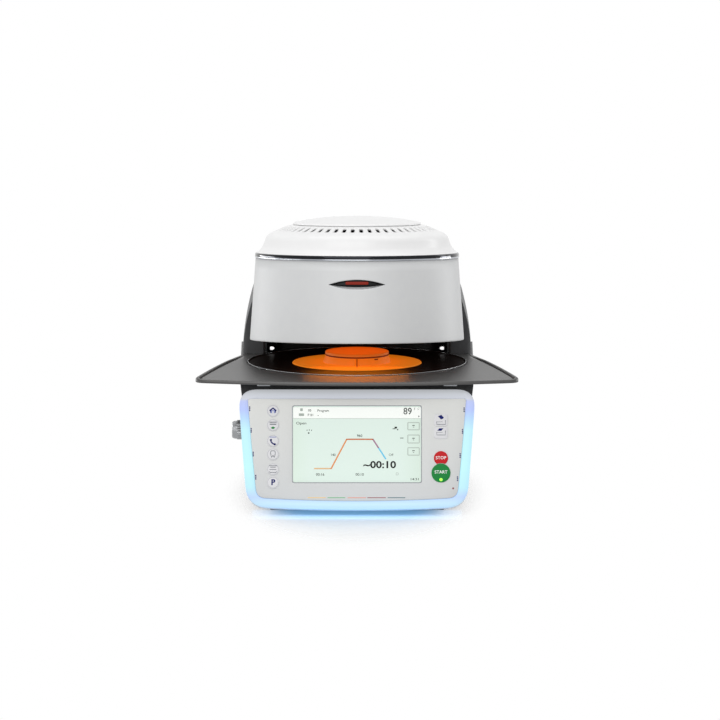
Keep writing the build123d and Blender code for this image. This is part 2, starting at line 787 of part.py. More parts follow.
def status_cut(width, height, depth):
    """Lens-shaped block across the skirt's front, narrowing to a point at each end."""
    half = width / 2
    upper = ThreePointArc((-half, 0), (0, height / 2), (half, 0))
    lower = ThreePointArc((half, 0), (0, -height / 2), (-half, 0))
    outline = Plane.XZ * make_face([upper, lower])
    place_y = chamber_y - skirt_radius_at(status_above)
    return Pos(0, place_y, skirt_low + status_above) * extrude(outline, depth, both=True)


def head_skirt():
    outer_low = skirt_foot_radius
    outer_high = skirt_top_radius
    skirt = turned(
        [
            (outer_low - 1.2, 0), (outer_low, 1.2), (outer_high, skirt_height),
            (outer_high - skirt_wall, skirt_height), (outer_low - skirt_wall, 1.2),
            (outer_low - skirt_wall, 0),
        ],
        base_z=skirt_low,
    )
    skirt -= neck_passage(0.6)
    return tilted(skirt - status_cut(status_width, status_height, 14.0))


def skirt_core(inset):
    """The cone that lies inset inside the skirt's outer face."""
    low, high = skirt_foot_radius - inset, skirt_top_radius - inset
    return turned([(0, 0), (low, 0), (high, skirt_height), (0, skirt_height)], base_z=skirt_low)


def status_bezel():
    place_y = chamber_y - skirt_radius_at(status_above)
    bowl = status_cut(status_width - fit_gap, status_height - fit_gap, 14.0)
    front = skirt_core(0.6)
    back = skirt_core(7.0)
    core = skirt_core(4.5)
    hollow = status_cut(status_width - 6, status_height - 3, 14.0) - core
    bezel = (bowl & front) - back - hollow
    bezel -= Pos(0, place_y, skirt_low + status_above + lens_height / 2) * Box(
        lens_width + fit_gap, 40.0, lens_height + fit_gap)
    return tilted(bezel)


def status_lens():
    place_y = chamber_y - skirt_radius_at(status_above)
    lens = Pos(0, place_y + 5.0, skirt_low + status_above + lens_height / 2)
    lens *= Box(lens_width, 5.0, lens_height)
    return tilted(lens)


def trim_ring():
    inner = skirt_top_radius - skirt_wall
    ring = turned(
        [
            (inner, trim_low), (skirt_top_radius + 0.2, trim_low), (trim_radius, trim_low + 1.6),
            (trim_radius, trim_high - 1.6), (trim_radius - 1.0, trim_high), (inner, trim_high),
        ],
        base_z=skirt_low,
    )
    return tilted(ring)


top_profile = (
    (-1.7, 0.0), (-2.7, 1.4), (-5.3, 4.2), (-8.5, 8.4), (-10.6, 13.6), (-12.2, 19.0), (-14.9, 22.8),
    (-19.3, 25.5), (-25.6, 28.0), (-32.5, 30.8), (-38.5, 33.4),
)                            # in from the skirt's top edge and up from the trim's


def head_top():
    outer = [(skirt_top_radius + r, trim_high + h) for r, h in top_profile]
    inner = [(r - top_wall, h - 0.6 * top_wall) for r, h in reversed(outer[2:])]
    inner.append((outer[0][0] - top_wall, trim_high))
    crown = [(cap_radius, cap_bottom - 0.2), (12.0, cap_bottom + 3.0)]
    under = [(12.0, cap_bottom + 3.0 - top_wall), (cap_radius, cap_bottom - 0.2 - top_wall)]
    shell = turned(outer + crown + under + inner, base_z=skirt_low)
    slot_length = vent_outer - vent_inner
    slot = Box(slot_length, vent_width, 24.0)
    slot = fillet(slot.edges().filter_by(Axis.Z), vent_width / 2 - 0.1)
    slots = []
    for k in range(vent_count):
        turn = Rot(0, 0, 90 + (k + 0.5) * 360 / vent_count)
        place = Pos((vent_inner + vent_outer) / 2, 0, cap_bottom)
        slots.append(Pos(0, chamber_y, skirt_low) * turn * place * slot)
    return tilted(shell - slots)


def head_cap():
    crown = (cap_bottom + cap_top) / 2
    cap = turned(
        [
            (0, cap_bottom + 3.2), (12.0, cap_bottom + 3.2),
            (cap_radius - 3, cap_bottom), (cap_radius, cap_bottom),
            (cap_radius + 0.2, cap_bottom + 1.2), (cap_radius - 1.2, cap_bottom + 3.0),
            (cap_radius - 4.0, crown - 2.0), (cap_radius - 10.9, crown - 0.4),
            (cap_radius - 19.9, crown + 1.3), (cap_radius - 30.9, crown + 2.8),
            (cap_radius - 41.6, crown + 3.9), (cap_radius - 59.9, crown + 4.9), (0, cap_top),
        ],
        base_z=skirt_low,
    )
    return tilted(cap)


def head_plate():
    inner = muffle_radius + muffle_wall + 1.5
    outer = skirt_foot_radius - skirt_wall - 0.4
    return tilted(turned(
        [(inner, head_plate_low), (outer, head_plate_low), (outer, head_plate_high), (inner, head_plate_high)],
        base_z=skirt_low,
    ))


def head_seal():
    middle = (seal_inner + seal_outer) / 2
    return tilted(turned(
        [
            (seal_inner, head_plate_low), (seal_inner + 0.6, 0), (middle, -seal_drop), (seal_outer - 0.6, 0),
            (seal_outer, head_plate_low),
        ],
        base_z=skirt_low,
    ))


def muffle():
    inner = muffle_radius
    outer = inner + muffle_wall
    return tilted(turned(
        [
            (inner, 0), (outer, 0), (outer, muffle_height), (0, muffle_height),
            (0, muffle_height - muffle_wall), (inner, muffle_height - muffle_wall),
        ],
        base_z=skirt_low,
    ) - upright(3.2, skirt_low + muffle_height - 8, skirt_low + muffle_height + 4))


def heating_coil():
    ring = Torus(muffle_radius + muffle_wall + fit_gap + coil_wire, coil_wire)
    pitch = (muffle_height - 18) / (coil_turns - 1)
    return [
        tilted(Pos(0, chamber_y, skirt_low + 10 + pitch * k) * ring) for k in range(coil_turns)
    ]


def head_insulation():
    inner = muffle_radius + muffle_wall + 2 * coil_wire + 2 * fit_gap
    wool = turned(
        [
            (inner, head_plate_high), (insulation_radius, head_plate_high), (insulation_radius, insulation_top),
            (4.0, insulation_top), (4.0, muffle_height + fit_gap), (inner, muffle_height + fit_gap),
        ],
        base_z=skirt_low,
    )
    return tilted(wool)


def thermocouple():
    low = skirt_low + muffle_height - 18
    probe = upright(2.8, low, skirt_low + insulation_top)
    probe += upright(9.0, skirt_low + insulation_top, skirt_low + insulation_top + 12)
    return tilted(probe)


def head_neck():
    """Cast arm from the head's frame to the barrel that is clamped on the shaft."""
    inner_y = chamber_y + insulation_radius
    block_low = (-neck_half, inner_y, skirt_low + head_plate_high)
    neck = block(block_low, (neck_half, inner_y + neck_plate, neck_top_z))
    arm = block((-neck_half, inner_y, neck_bottom_z), (neck_half, hinge_y, neck_top_z))
    arm += crossways(barrel_radius, -barrel_half, barrel_half, hinge_y, hinge_z)
    inside = block(
        (-neck_half + neck_wall, inner_y + neck_plate, neck_bottom_z + neck_wall),
        (neck_half - neck_wall, hinge_y, neck_top_z - neck_wall),
    )
    hub = crossways(shaft_radius + 5, -barrel_half, barrel_half, hinge_y, hinge_z)
    core = crossways(
        barrel_radius - neck_wall, -barrel_half + neck_wall, barrel_half - neck_wall, hinge_y, hinge_z
    )
    neck = neck + arm - (inside + core - hub)
    neck &= block((-base_half, front_y, skirt_low + head_plate_high), (base_half, rear_y, 2 * neck_top_z))
    neck -= crossways(shaft_radius, -barrel_half - 1, barrel_half + 1, hinge_y, hinge_z)
    return tilted(neck)


# ---- inside and back of the base ----------------------------------------------------------------
floor_z = pan_z + pan_thickness
board_standoff = 8.0
supply_width = 26.0
supply_height = 62.0


def power_supply():
    outer_x = -base_foot_half + 8.0
    rear = hinge_y - bracket_width / 2 - 4.0
    case = block((outer_x, chamber_y + 20, floor_z), (outer_x + supply_width, rear, floor_z + supply_height))
    return fillet(case.edges().filter_by(Axis.Z), 2.0)


def main_board():
    low = (-60.0, chamber_y - 110, floor_z + board_standoff)
    high = (70.0, chamber_y + 20, floor_z + board_standoff + board_thickness)
    board = block(low, high)
    for x in (low[0] + 8, high[0] - 8):
        for y in (low[1] + 8, high[1] - 8):
            board += upright(3.0, floor_z, low[2], x, y)
    for x, y, width, length, tall in (
        (-30, -60, 22, 22, 4), (10, -60, 16, 30, 10), (44, -80, 24, 24, 16), (-30, -10, 34, 16, 22),
        (20, -10, 26, 20, 14),
    ):
        corner = (x, chamber_y + y, high[2])
        board += block(corner, (x + width, chamber_y + y + length, high[2] + tall))
    return board


valve_y = coupling_y
valve_x = -base_foot_half + 28.0


def vacuum_valve():
    body = block((valve_x - 16, valve_y - 18, floor_z), (valve_x + 16, valve_y + 18, floor_z + 34))
    body = fillet(body.edges().filter_by(Axis.Z), 3.0)
    coil = block((valve_x - 12, valve_y - 12, floor_z + 34), (valve_x + 4, valve_y + 12, floor_z + 52))
    stub = upright(4.0, floor_z + 34, floor_z + 42, valve_x + 10, valve_y)
    side_stub = Pos(valve_x, valve_y - 18, floor_z + 16) * Rot(90, 0, 0) * Cylinder(4.0, 12.0)
    return body + coil + stub + side_stub


def tube(points, radii, radius):
    """Hose along straight runs joined by tangent arcs."""
    path = FilletPolyline(*points, radius=radii)
    start = Plane(origin=path @ 0, z_dir=path % 0)
    return sweep(start * Circle(radius), path)


def vacuum_hoses():
    """From the coupling to the valve's side, and from the valve's top to the firing chamber's cup."""
    entry = (-coupling_x + 12, coupling_y, coupling_z)
    out_y = valve_y - 24
    low = tube(
        [entry, (entry[0] + 20, entry[1], entry[2]), (entry[0] + 20, out_y - 24, entry[2] - 10),
         (valve_x, out_y - 24, floor_z + 16), (valve_x, out_y, floor_z + 16)],
        [8.0, 12.0, 9.0], 3.6,
    )
    top = floor_z + 42
    high = tube(
        [(valve_x + 10, valve_y, top), (valve_x + 10, valve_y, top + 26),
         (-20.0, chamber_y, top + 26), (0.0, chamber_y, cup_bottom_z - 22), (0.0, chamber_y, cup_bottom_z)],
        [14.0, 10.0, 8.0], 3.6,
    )
    return [low, high]


def hose_coupling():
    start = -coupling_x
    ring = crossways(coupling_radius, start - coupling_reach, start - 1.0, coupling_y, coupling_z)
    ring = chamfer(ring.edges().filter_by(GeomType.CIRCLE), 1.0)
    for k in range(24):
        turn = radians(15 * k)
        groove_y = coupling_y + (coupling_radius + 0.2) * cos(turn)
        groove_z = coupling_z + (coupling_radius + 0.2) * sin(turn)
        ring -= crossways(0.7, start - coupling_reach + 2, start - 3.5, groove_y, groove_z)
    ring += crossways(coupling_radius - 3.4, start - 2, start + 12, coupling_y, coupling_z)
    bore = crossways(coupling_radius - 5.4, start - coupling_reach - 1, start + 13, coupling_y, coupling_z)
    return ring - bore


def power_entry():
    """Mains socket with its filter box and the rocker's mouth beside it."""
    bezel = block(
        (entry_x - entry_width / 2, rear_plate_y + rear_plate, entry_z - entry_height / 2),
        (entry_x + entry_width / 2, rear_plate_y + rear_plate + 3, entry_z + entry_height / 2),
    )
    bezel = fillet(bezel.edges().filter_by(Axis.Y), 3.0)
    body = block(
        (entry_x - entry_width / 2 + 5, rear_plate_y - entry_depth, entry_z - entry_height / 2 + 5),
        (entry_x + entry_width / 2 - 5, rear_plate_y + rear_plate, entry_z + entry_height / 2 - 5),
    )
    socket_x = entry_x - 8.5
    mouth = block((socket_x - 12, rear_plate_y - 14, entry_z - 8.5), (socket_x + 12, rear_y, entry_z + 8.5))
    mouth = fillet(mouth.edges().filter_by(Axis.Y), 4.0)
    entry = bezel + body - mouth
    for pin_x in (-7.0, 0.0, 7.0):
        low = (socket_x + pin_x - 1, rear_plate_y - 14, entry_z - 3)
        entry += block(low, (low[0] + 2, rear_plate_y - 2, entry_z + 1))
    well = block(
        (rocker_x - rocker_half_width - 0.4, rear_plate_y - 12, entry_z - rocker_half_height - 1.0),
        (rocker_x + rocker_half_width + 0.4, rear_y, entry_z + rocker_half_height + 1.0),
    )
    entry -= well
    entry += crossways(
        1.5, rocker_x - rocker_half_width - 2, rocker_x + rocker_half_width + 2, rocker_y, entry_z
    )
    return entry


rocker_x = entry_x + 14.0
rocker_y = rear_plate_y + 0.5


def power_switch():
    """Rocker on a pin, its face broken into two planes, resting pressed on one side."""
    face = rear_plate_y + rear_plate + 3.4
    points = [
        (face, 0), (face + 1.2, rocker_half_height - 0.6), (face - 1, rocker_half_height),
        (rocker_y - 3, 4), (rocker_y - 3, -4), (face - 1, -rocker_half_height),
        (face + 1.2, -rocker_half_height + 0.6),
    ]
    rocker = Pos(rocker_x, 0, entry_z) * side_extrude(points, rocker_half_width)
    rocker -= crossways(1.5 + shaft_clearance, 0, 2 * rocker_x, rocker_y, entry_z)
    return rocker.rotate(Axis((0, rocker_y, entry_z), (1, 0, 0)), rocker_deg)


def service_ports():
    solids = []
    for x, width, tall in ((-22, 16, 13), (-2, 13, 6), (14, 13, 6)):
        low = (ports_x + x, rear_plate_y - 10, ports_z - tall / 2)
        high = (ports_x + x + width, rear_plate_y + rear_plate + 0.6, ports_z + tall / 2)
        mouth = block((low[0] + 1.2, rear_plate_y - 8, low[2] + 1.2), (high[0] - 1.2, rear_y, high[2] - 1.2))
        solids.append(block(low, high) - mouth)
    corner = (ports_x - 34, rear_plate_y - 1.6, ports_z - 11)
    carrier = block(corner, (ports_x + 34, rear_plate_y, ports_z + 11))
    for port in list(solids):
        box = port.bounding_box()
        carrier -= block((box.min.X, box.min.Y, box.min.Z), (box.max.X, box.max.Y, box.max.Z))
    return solids + [carrier]


fan_back_y = rear_plate_y - fit_gap


def fan_frame():
    middle = Pos(fan_x, fan_back_y - fan_depth / 2, fan_z) * Rot(90, 0, 0)
    frame = Pos(fan_x, fan_back_y - fan_depth / 2, fan_z) * Box(fan_size, fan_depth, fan_size)
    frame = fillet(frame.edges().filter_by(Axis.Y), 5.0)
    frame -= middle * Cylinder(fan_size / 2 - fan_wall, 2 * fan_depth)
    front_y_fan = fan_back_y - fan_depth
    strut = block((-fan_size / 2 + 1, front_y_fan, -2), (fan_size / 2 - 1, front_y_fan + 3, 2))
    for angle in (45, 135):
        frame += Pos(fan_x, 0, fan_z) * Rot(0, angle, 0) * strut
    frame += Pos(fan_x, front_y_fan + 1.5, fan_z) * Rot(90, 0, 0) * Cylinder(fan_hub, 3.0)
    frame += Pos(fan_x, front_y_fan + 6.5, fan_z) * Rot(90, 0, 0) * Cylinder(2.0, 13.0)
    return frame


def fan_rotor():
    front = fan_back_y - fan_depth + 4.0
    length = fan_depth - 6.0
    spot = Pos(fan_x, front + length / 2, fan_z)
    rotor = spot * Rot(90, 0, 0) * Cylinder(fan_hub, length)
    blade = Pos(0, 0, (fan_hub + fan_size / 2) / 2 - 2) * Rot(0, 0, 38) * Box(
        1.8, length * 0.95, fan_size / 2 - fan_hub)
    for k in range(fan_blades):
        rotor += spot * Rot(0, 360 * k / fan_blades, 0) * blade
    rotor &= spot * Rot(90, 0, 0) * Cylinder(fan_size / 2 - fan_wall - 1.0, length)
    bore = Pos(fan_x, front + 4.6, fan_z) * Rot(90, 0, 0) * Cylinder(2.0 + shaft_clearance, 10.4)
    return rotor - bore


def case_screws():
    """Screws that hold the rear panel, pan and the bracket feet."""
    solids = []
    screw_x = base_foot_half - 10.0
    for x in (-screw_x, screw_x):
        for z in (22.0, base_top_z - 20.6):
            spot = Pos(x, rear_plate_y + rear_plate + 1.0, z) * Rot(90, 0, 0)
            head = spot * Cylinder(3.2, 2.0)
            solids.append(head - spot * Pos(0, 0, -1) * Box(4.4, 0.8, 1.2))
    return solids


nodes = {
    "rubber_feet": feet(),
    "base_pan": base_pan(),
    "base_housing": base_housing(),
    "rear_panel": rear_panel(),
    "panel_housing": panel_housing(),
    "light_ring": light_ring(),
    "face_plate": face_plate(),
    "screen_glass": screen_glass(),
    "display_module": display_module(),
    "panel_boards": panel_boards(),
    "key_stop": stop_key(),
    "key_start": on_panel(round_key(key_column, start_height, start_radius)),
    "key_head_open": head_key(head_key_heights[0]),
    "key_head_close": head_key(head_key_heights[1]),
    "cooling_tray": cooling_tray(),
    "tray_insert": tray_insert(),
    "tray_brackets": tray_brackets(),
    "insulation_disc": insulation_disc(),
    "insulation_cup": insulation_cup(),
    "firing_table": firing_table(),
    "tower_shell": tower_shell(),
    "tower_back": tower_back(),
    "tower_liner": tower_liner(),
    "hinge_brackets": hinge_brackets(),
    "hinge_bushes": hinge_bushes(),
    "hinge_shaft": tilted(hinge_shaft()),
    "sector_gear": sector_gear(),
    "drive_pinion": drive_pinion(),
    "gear_motor": gear_motor(),
    "head_skirt": head_skirt(),
    "status_bezel": status_bezel(),
    "status_lens": status_lens(),
    "trim_ring": trim_ring(),
    "head_top": head_top(),
    "head_cap": head_cap(),
    "head_plate": head_plate(),
    "head_seal": head_seal(),
    "muffle": muffle(),
    "heating_coil": heating_coil(),
    "head_insulation": head_insulation(),
    "thermocouple": thermocouple(),
    "head_neck": head_neck(),
    "power_supply": power_supply(),
    "main_board": main_board(),
    "vacuum_valve": vacuum_valve(),
    "vacuum_hoses": vacuum_hoses(),
    "hose_coupling": hose_coupling(),
    "power_entry": power_entry(),
    "power_switch": power_switch(),
    "service_ports": service_ports(),
    "fan_frame": fan_frame(),
    "fan_rotor": fan_rotor(),
    "case_screws": case_screws(),
}
key_names = ("home", "program", "service", "settings", "list", "power_save")
for name, height in zip(key_names, key_heights):
    nodes["key_" + name] = on_panel(round_key(-key_column, height, key_radius))

os.makedirs("parts", exist_ok=True)
for name, shape in nodes.items():
    if isinstance(shape, list):
        shape = Compound(children=[solid for piece in shape for solid in piece.solids()])
    export_step(shape, f"parts/{name}.step")
print(len(nodes), "nodes; hinge", hinge_y, hinge_z, "pinion", pinion_z, "rear plate", rear_plate_y)
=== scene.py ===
import json
from math import cos, pi, radians, sin
import bmesh
import bpy
import numpy as np
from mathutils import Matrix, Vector


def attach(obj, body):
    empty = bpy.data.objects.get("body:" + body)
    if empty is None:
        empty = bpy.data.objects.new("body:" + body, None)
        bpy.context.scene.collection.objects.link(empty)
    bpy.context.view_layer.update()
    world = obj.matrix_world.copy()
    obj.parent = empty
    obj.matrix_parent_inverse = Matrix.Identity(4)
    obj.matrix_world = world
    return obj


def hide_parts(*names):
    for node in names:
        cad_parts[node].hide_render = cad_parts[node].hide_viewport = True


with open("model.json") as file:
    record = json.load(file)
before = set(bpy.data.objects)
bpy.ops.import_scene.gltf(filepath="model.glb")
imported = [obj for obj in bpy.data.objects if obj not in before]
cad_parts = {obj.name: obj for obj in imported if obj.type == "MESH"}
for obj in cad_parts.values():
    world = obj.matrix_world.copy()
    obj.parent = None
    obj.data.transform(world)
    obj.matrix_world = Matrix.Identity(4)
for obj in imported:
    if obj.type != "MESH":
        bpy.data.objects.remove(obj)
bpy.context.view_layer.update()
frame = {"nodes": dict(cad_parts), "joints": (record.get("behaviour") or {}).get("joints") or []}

mm = 0.001
headJoint = [j for j in frame["joints"] if j["name"] == "head_tilt"][0]
hingeY, hingeZ = headJoint["pos_m"][1] / mm, headJoint["pos_m"][2] / mm
place = {"chamberY": -16.0, "trayTop": 165.0, "skirtLow": 177.0, "restOpen": 5.0,
         "panelLean": 15.0, "panelFootY": -220.0, "panelFootZ": 9.0}


def srgb(hexText):
    # Hex colour to linear: below 0.04 a straight line, above it the 2.4 power curve.
    c = np.array([int(hexText[i:i + 2], 16) / 255 for i in (1, 3, 5)])
    lin = np.where(c <= 0.04045, c / 12.92, ((c + 0.055) / 1.055) ** 2.4)
    return (*lin.tolist(), 1.0)


def addNode(tree, kind, **values):
    # One node: its own settings, and its inputs by name or as i and a number, each given a socket or a value.
    node = tree.nodes.new("ShaderNode" + kind)
    for key, value in values.items():
        if hasattr(node, key):
            setattr(node, key, value)
            continue
        numbered = key[0] == "i" and key[1:].isdigit()
        socket = node.inputs[int(key[1:]) if numbered else key.replace("_", " ")]
        if isinstance(value, bpy.types.NodeSocket):
            tree.links.new(value, socket)
        else:
            socket.default_value = value
    return node


def addObject(name, data):
    # A new object in the scene's collection.
    thing = bpy.data.objects.new(name, data)
    bpy.context.collection.objects.link(thing)
    return thing


def newMaterial(name):
    # A material with its node tree and its main shader.
    material = bpy.data.materials.new(name)
    material.use_nodes = True
    return material, material.node_tree, material.node_tree.nodes["Principled BSDF"]


driftScale = 0.04  # the slow change of colour runs at this share of the grain's scale


def ownCoordinate(tree, axis):
    # One of a point's own coordinates, as the socket that gives it.
    coords = addNode(tree, "TexCoord").outputs["Object"]
    return addNode(tree, "SeparateXYZ", Vector=coords).outputs[axis]


def buildMaterial(name, look):
    # A base colour with a slow drift or a change with height, roughness varying over grainMm, and a fine bump.
    material, tree, shader = newMaterial(name)
    grain = 1.0 / (look["grainMm"] * mm)
    coords = addNode(tree, "TexCoord").outputs["Object"]
    stretch = addNode(tree, "Mapping", Vector=coords, Scale=look.get("stretch", (1, 1, 1)))
    fine = addNode(tree, "TexNoise", Vector=stretch.outputs[0], Scale=grain, Detail=3.0)
    if look["color2"]:
        if "heights" in look:
            z = addNode(tree, "SeparateXYZ", Vector=coords).outputs["Z"]
            lowest, highest = (at * mm for at in look["heights"])
            slow = addNode(tree, "MapRange", Value=z, From_Min=lowest, From_Max=highest)
        else:
            slow = addNode(tree, "TexNoise", Vector=coords, Scale=grain * driftScale, Detail=2.0)
        tint = addNode(tree, "Mix", data_type="RGBA", i6=srgb(look["color"]), i7=srgb(look["color2"]),
                       i0=slow.outputs[0])
        tree.links.new(tint.outputs[2], shader.inputs["Base Color"])
    else:
        shader.inputs["Base Color"].default_value = srgb(look["color"])
    low, high = look["roughness"]
    rough = addNode(tree, "MapRange", Value=fine.outputs["Fac"], To_Min=low, To_Max=high)
    tree.links.new(rough.outputs[0], shader.inputs["Roughness"])
    if look["bump"]:
        strength, reliefMm = look["bump"]
        bump = addNode(tree, "Bump", Height=fine.outputs["Fac"], Strength=strength, Distance=reliefMm * mm)
        tree.links.new(bump.outputs[0], shader.inputs["Normal"])
    for key, socket in (("metallic", "Metallic"), ("ior", "IOR"), ("specular", "Specular IOR Level"),
                        ("coat", "Coat Weight"), ("coatRoughness", "Coat Roughness")):
        if key in look:
            shader.inputs[socket].default_value = look[key]
    if "glow" in look:
        shader.inputs["Emission Color"].default_value = srgb(look["glow"][0])
        shader.inputs["Emission Strength"].default_value = look["glow"][1]
    return material


def skin(color, color2, roughness, grainMm, bump=None, **more):
    # A surface: one or two base colours, range of roughness, grain in mm, bump as strength and relief in mm.
    return {"color": color, "color2": color2, "roughness": roughness, "grainMm": grainMm, "bump": bump, **more}


def ink(color, **more):
    # Printed ink: one colour, faintly matt.
    return skin(color, None, (0.4, 0.5), 1.0, **more)


def screenInk(color, **more):
    # The display's inks lie under its glass, and some are lit from behind.
    return skin(color, None, (0.2, 0.3), 2.0, **more)


looks = {
    # white ABS, moulded with a satin skin: soft broad highlights
    "absWhite": skin("#EEEEEE", "#EAEAEA", (0.28, 0.36), 0.8, (0.06, 0.02), ior=1.5, specular=0.35, coat=0.15,
                     coatRoughness=0.2),
    # powder-coated aluminium sheet, silver: a soft metallic sheen with a very fine grain
    "silverCoat": skin("#D4D5D5", "#CFD0D1", (0.46, 0.54), 0.5, (0.05, 0.02), metallic=0.08, specular=0.25),
    # chrome trim: its near-black colour is a painted dark reflection, and the lip's paler chrome is a painted
    # highlight
    "chromeDarkReflection": skin("#26272A", None, (0.04, 0.08), 6.0, metallic=1.0),
    "chromePaleHighlight": skin("#A6A9AE", None, (0.1, 0.16), 6.0, metallic=1.0),
    # anodised aluminium, anthracite, fine blasted
    "anodisedGrey": skin("#4A4A4A", "#525150", (0.36, 0.46), 0.7, (0.10, 0.03), metallic=0.55),
    # ABS with a leather-like spark texture
    "absAnthracite": skin("#333436", "#2D2E30", (0.42, 0.55), 1.0, (0.25, 0.06)),
    "absBlack": skin("#17181A", "#1C1D1F", (0.45, 0.58), 1.0, (0.25, 0.06)),
    # acrylic, gloss black, moulded against polished steel
    "acrylicBlack": skin("#08080A", "#0B0B0D", (0.04, 0.09), 30.0, coat=0.6, coatRoughness=0.03),
    # enamelled steel, black, with a faint waviness; its faint warm tint is a painted reflection of the orange
    # glow
    "enamelBlackGlowTint": skin("#0C0604", "#140804", (0.42, 0.5), 12.0, (0.05, 0.10), specular=0.08),
    "steelBright": skin("#C6C8CA", None, (0.18, 0.32), 1.2, metallic=1.0, stretch=(1, 12, 12)),
    "steelSatin": skin("#9A9C9E", None, (0.3, 0.42), 1.2, metallic=1.0),
    "steelDark": skin("#6D6F72", None, (0.28, 0.42), 1.2, metallic=1.0),
    "steelPainted": skin("#3C3E41", "#383A3D", (0.45, 0.6), 0.9, (0.2, 0.05)),
    "brass": skin("#C9A45A", None, (0.2, 0.35), 1.5, metallic=1.0),
    "rubberBlack": skin("#141414", "#1B1B1B", (0.7, 0.85), 1.0, (0.2, 0.05)),
    # red silicone; its faint glow is painted light of the hot chamber
    "siliconeRed": skin("#5A1410", "#4A0F0C", (0.4, 0.55), 2.0, glow=("#7A1A08", 0.05)),
    "hoseSilicone": skin("#D8D8D2", "#CFCFC8", (0.35, 0.5), 2.0),
    "boardGreen": skin("#1E5A34", "#1A4F2E", (0.35, 0.5), 1.2),
    # printed polyester membrane over the panel: light grey, fine satin; paler towards its top and darker at its
    # foot as painted light and shade
    "membranePaintedLight": skin("#C9CBCC", "#DCDDDA", (0.36, 0.44), 0.6, (0.05, 0.02), heights=(20.0, 138.0)),
    "keyGrey": skin("#DADADC", "#D5D5D8", (0.3, 0.38), 0.6),
    "keyRed": skin("#C8141C", "#BE1018", (0.34, 0.42), 0.8, specular=0.15),
    "keyGreen": skin("#0A8238", "#087A33", (0.34, 0.42), 0.8, specular=0.15),
    "housingWhite": skin("#D6DCE4", "#CFD6E0", (0.35, 0.45), 0.8, (0.05, 0.02)),
    "bezelBlack": skin("#0C0C0E", "#101012", (0.3, 0.4), 4.0, specular=0.15),
    # the recess's lower lip: pale grey as painted light where it faces up
    "lipLitGrey": skin("#B4B6B8", None, (0.25, 0.35), 1.0, metallic=0.3),
    # alumina fibre board and ceramic, hot: they glow orange from the furnace's heat
    "fibreHot": skin("#EE8A20", "#E47C16", (0.7, 0.85), 2.5, (0.3, 0.1), glow=("#FF8A10", 0.42)),
    "tableHot": skin("#CC7C2C", "#C27022", (0.55, 0.7), 2.0, (0.25, 0.08), glow=("#E07410", 0.26)),
    "tableSide": skin("#D06A1C", "#C05C14", (0.55, 0.7), 2.0, (0.25, 0.08), glow=("#F87C0C", 0.46)),
    # dark red-brown for the slit, the hole and under the plate's edge: painted shade in gaps and under the
    # overhang
    "gapShadeDark": skin("#6A2A08", None, (0.8, 0.9), 1.0, glow=("#8A3404", 0.16)),
    # the ring under the head: near black, and its faint red glow is painted light of the orange glow below
    "ringGlowLit": skin("#160A08", "#1C0C08", (0.35, 0.5), 5.0, metallic=0.6, glow=("#5A1206", 0.03)),
    "quartz": skin("#E2A878", "#D89A68", (0.15, 0.3), 4.0, glow=("#FF7C18", 0.34)),
    "coilHot": skin("#FFB060", None, (0.4, 0.5), 2.0, glow=("#FF7A18", 2.2)),
    "woolWhite": skin("#EDEBE4", "#E2DFD6", (0.85, 0.95), 1.5, (0.5, 0.3)),
    "probeCeramic": skin("#E8E2D4", None, (0.4, 0.5), 1.5),
    "castGrey": skin("#55585B", "#4C4F52", (0.42, 0.55), 1.2, (0.3, 0.08), metallic=0.5),
    # a matt black sheet behind the vents, painted shade inside the slots
    "ventShadeBlack": skin("#0A0A0A", None, (0.9, 0.98), 1.0, (0.4, 0.3), specular=0.05),
    "lensRed": skin("#6E1C12", "#58140C", (0.3, 0.36), 5.0, specular=0.15, glow=("#C83418", 0.2)),
    "ledGreen": skin("#9CFF40", None, (0.3, 0.4), 1.0, glow=("#9CFF40", 0.8)),
    # small studs on the liner behind the insert: they glow white as a painted highlight
    "studGlintWhite": skin("#F4F4F4", None, (0.1, 0.2), 5.0, glow=("#FFFFFF", 0.9)),
    "inkNavy": ink("#141E66", specular=0.1),
    "inkBlue": ink("#8C96C8", specular=0.1),
    "inkGrey": ink("#6C7078", specular=0.1),
    "inkPale": ink("#B2B4B8"),
    "inkWhite": ink("#FAFAFA"),
    "dotRed": ink("#7A1A1E"),
    "screenBlack": screenInk("#0E0E0E", specular=0.1),
    "screenGrey": screenInk("#4E5650", specular=0.1),
    "screenPale": screenInk("#AEB8B0", specular=0.1),
    "screenWhite": screenInk("#F4F8F3", specular=0.1, glow=("#FFFFFF", 0.14)),
}
for k, color in enumerate(("#F2C878", "#58B070", "#E0907C", "#8C2A34", "#1E5A66")):
    looks["markPalette%d" % (k + 1)] = ink(color)
for name, color in (("Tan", "#C8A070"), ("Orange", "#C87830"), ("Dark", "#B05A20"), ("Purple", "#8A5A78"),
                    ("Blue", "#50B0D0")):
    looks["curve" + name] = screenInk(color, glow=(color, 0.2))
materials = {}


def mat(name):
    # Each look's material is made once, on first use.
    if name not in materials:
        materials[name] = buildMaterial(name, looks[name])
    return materials[name]


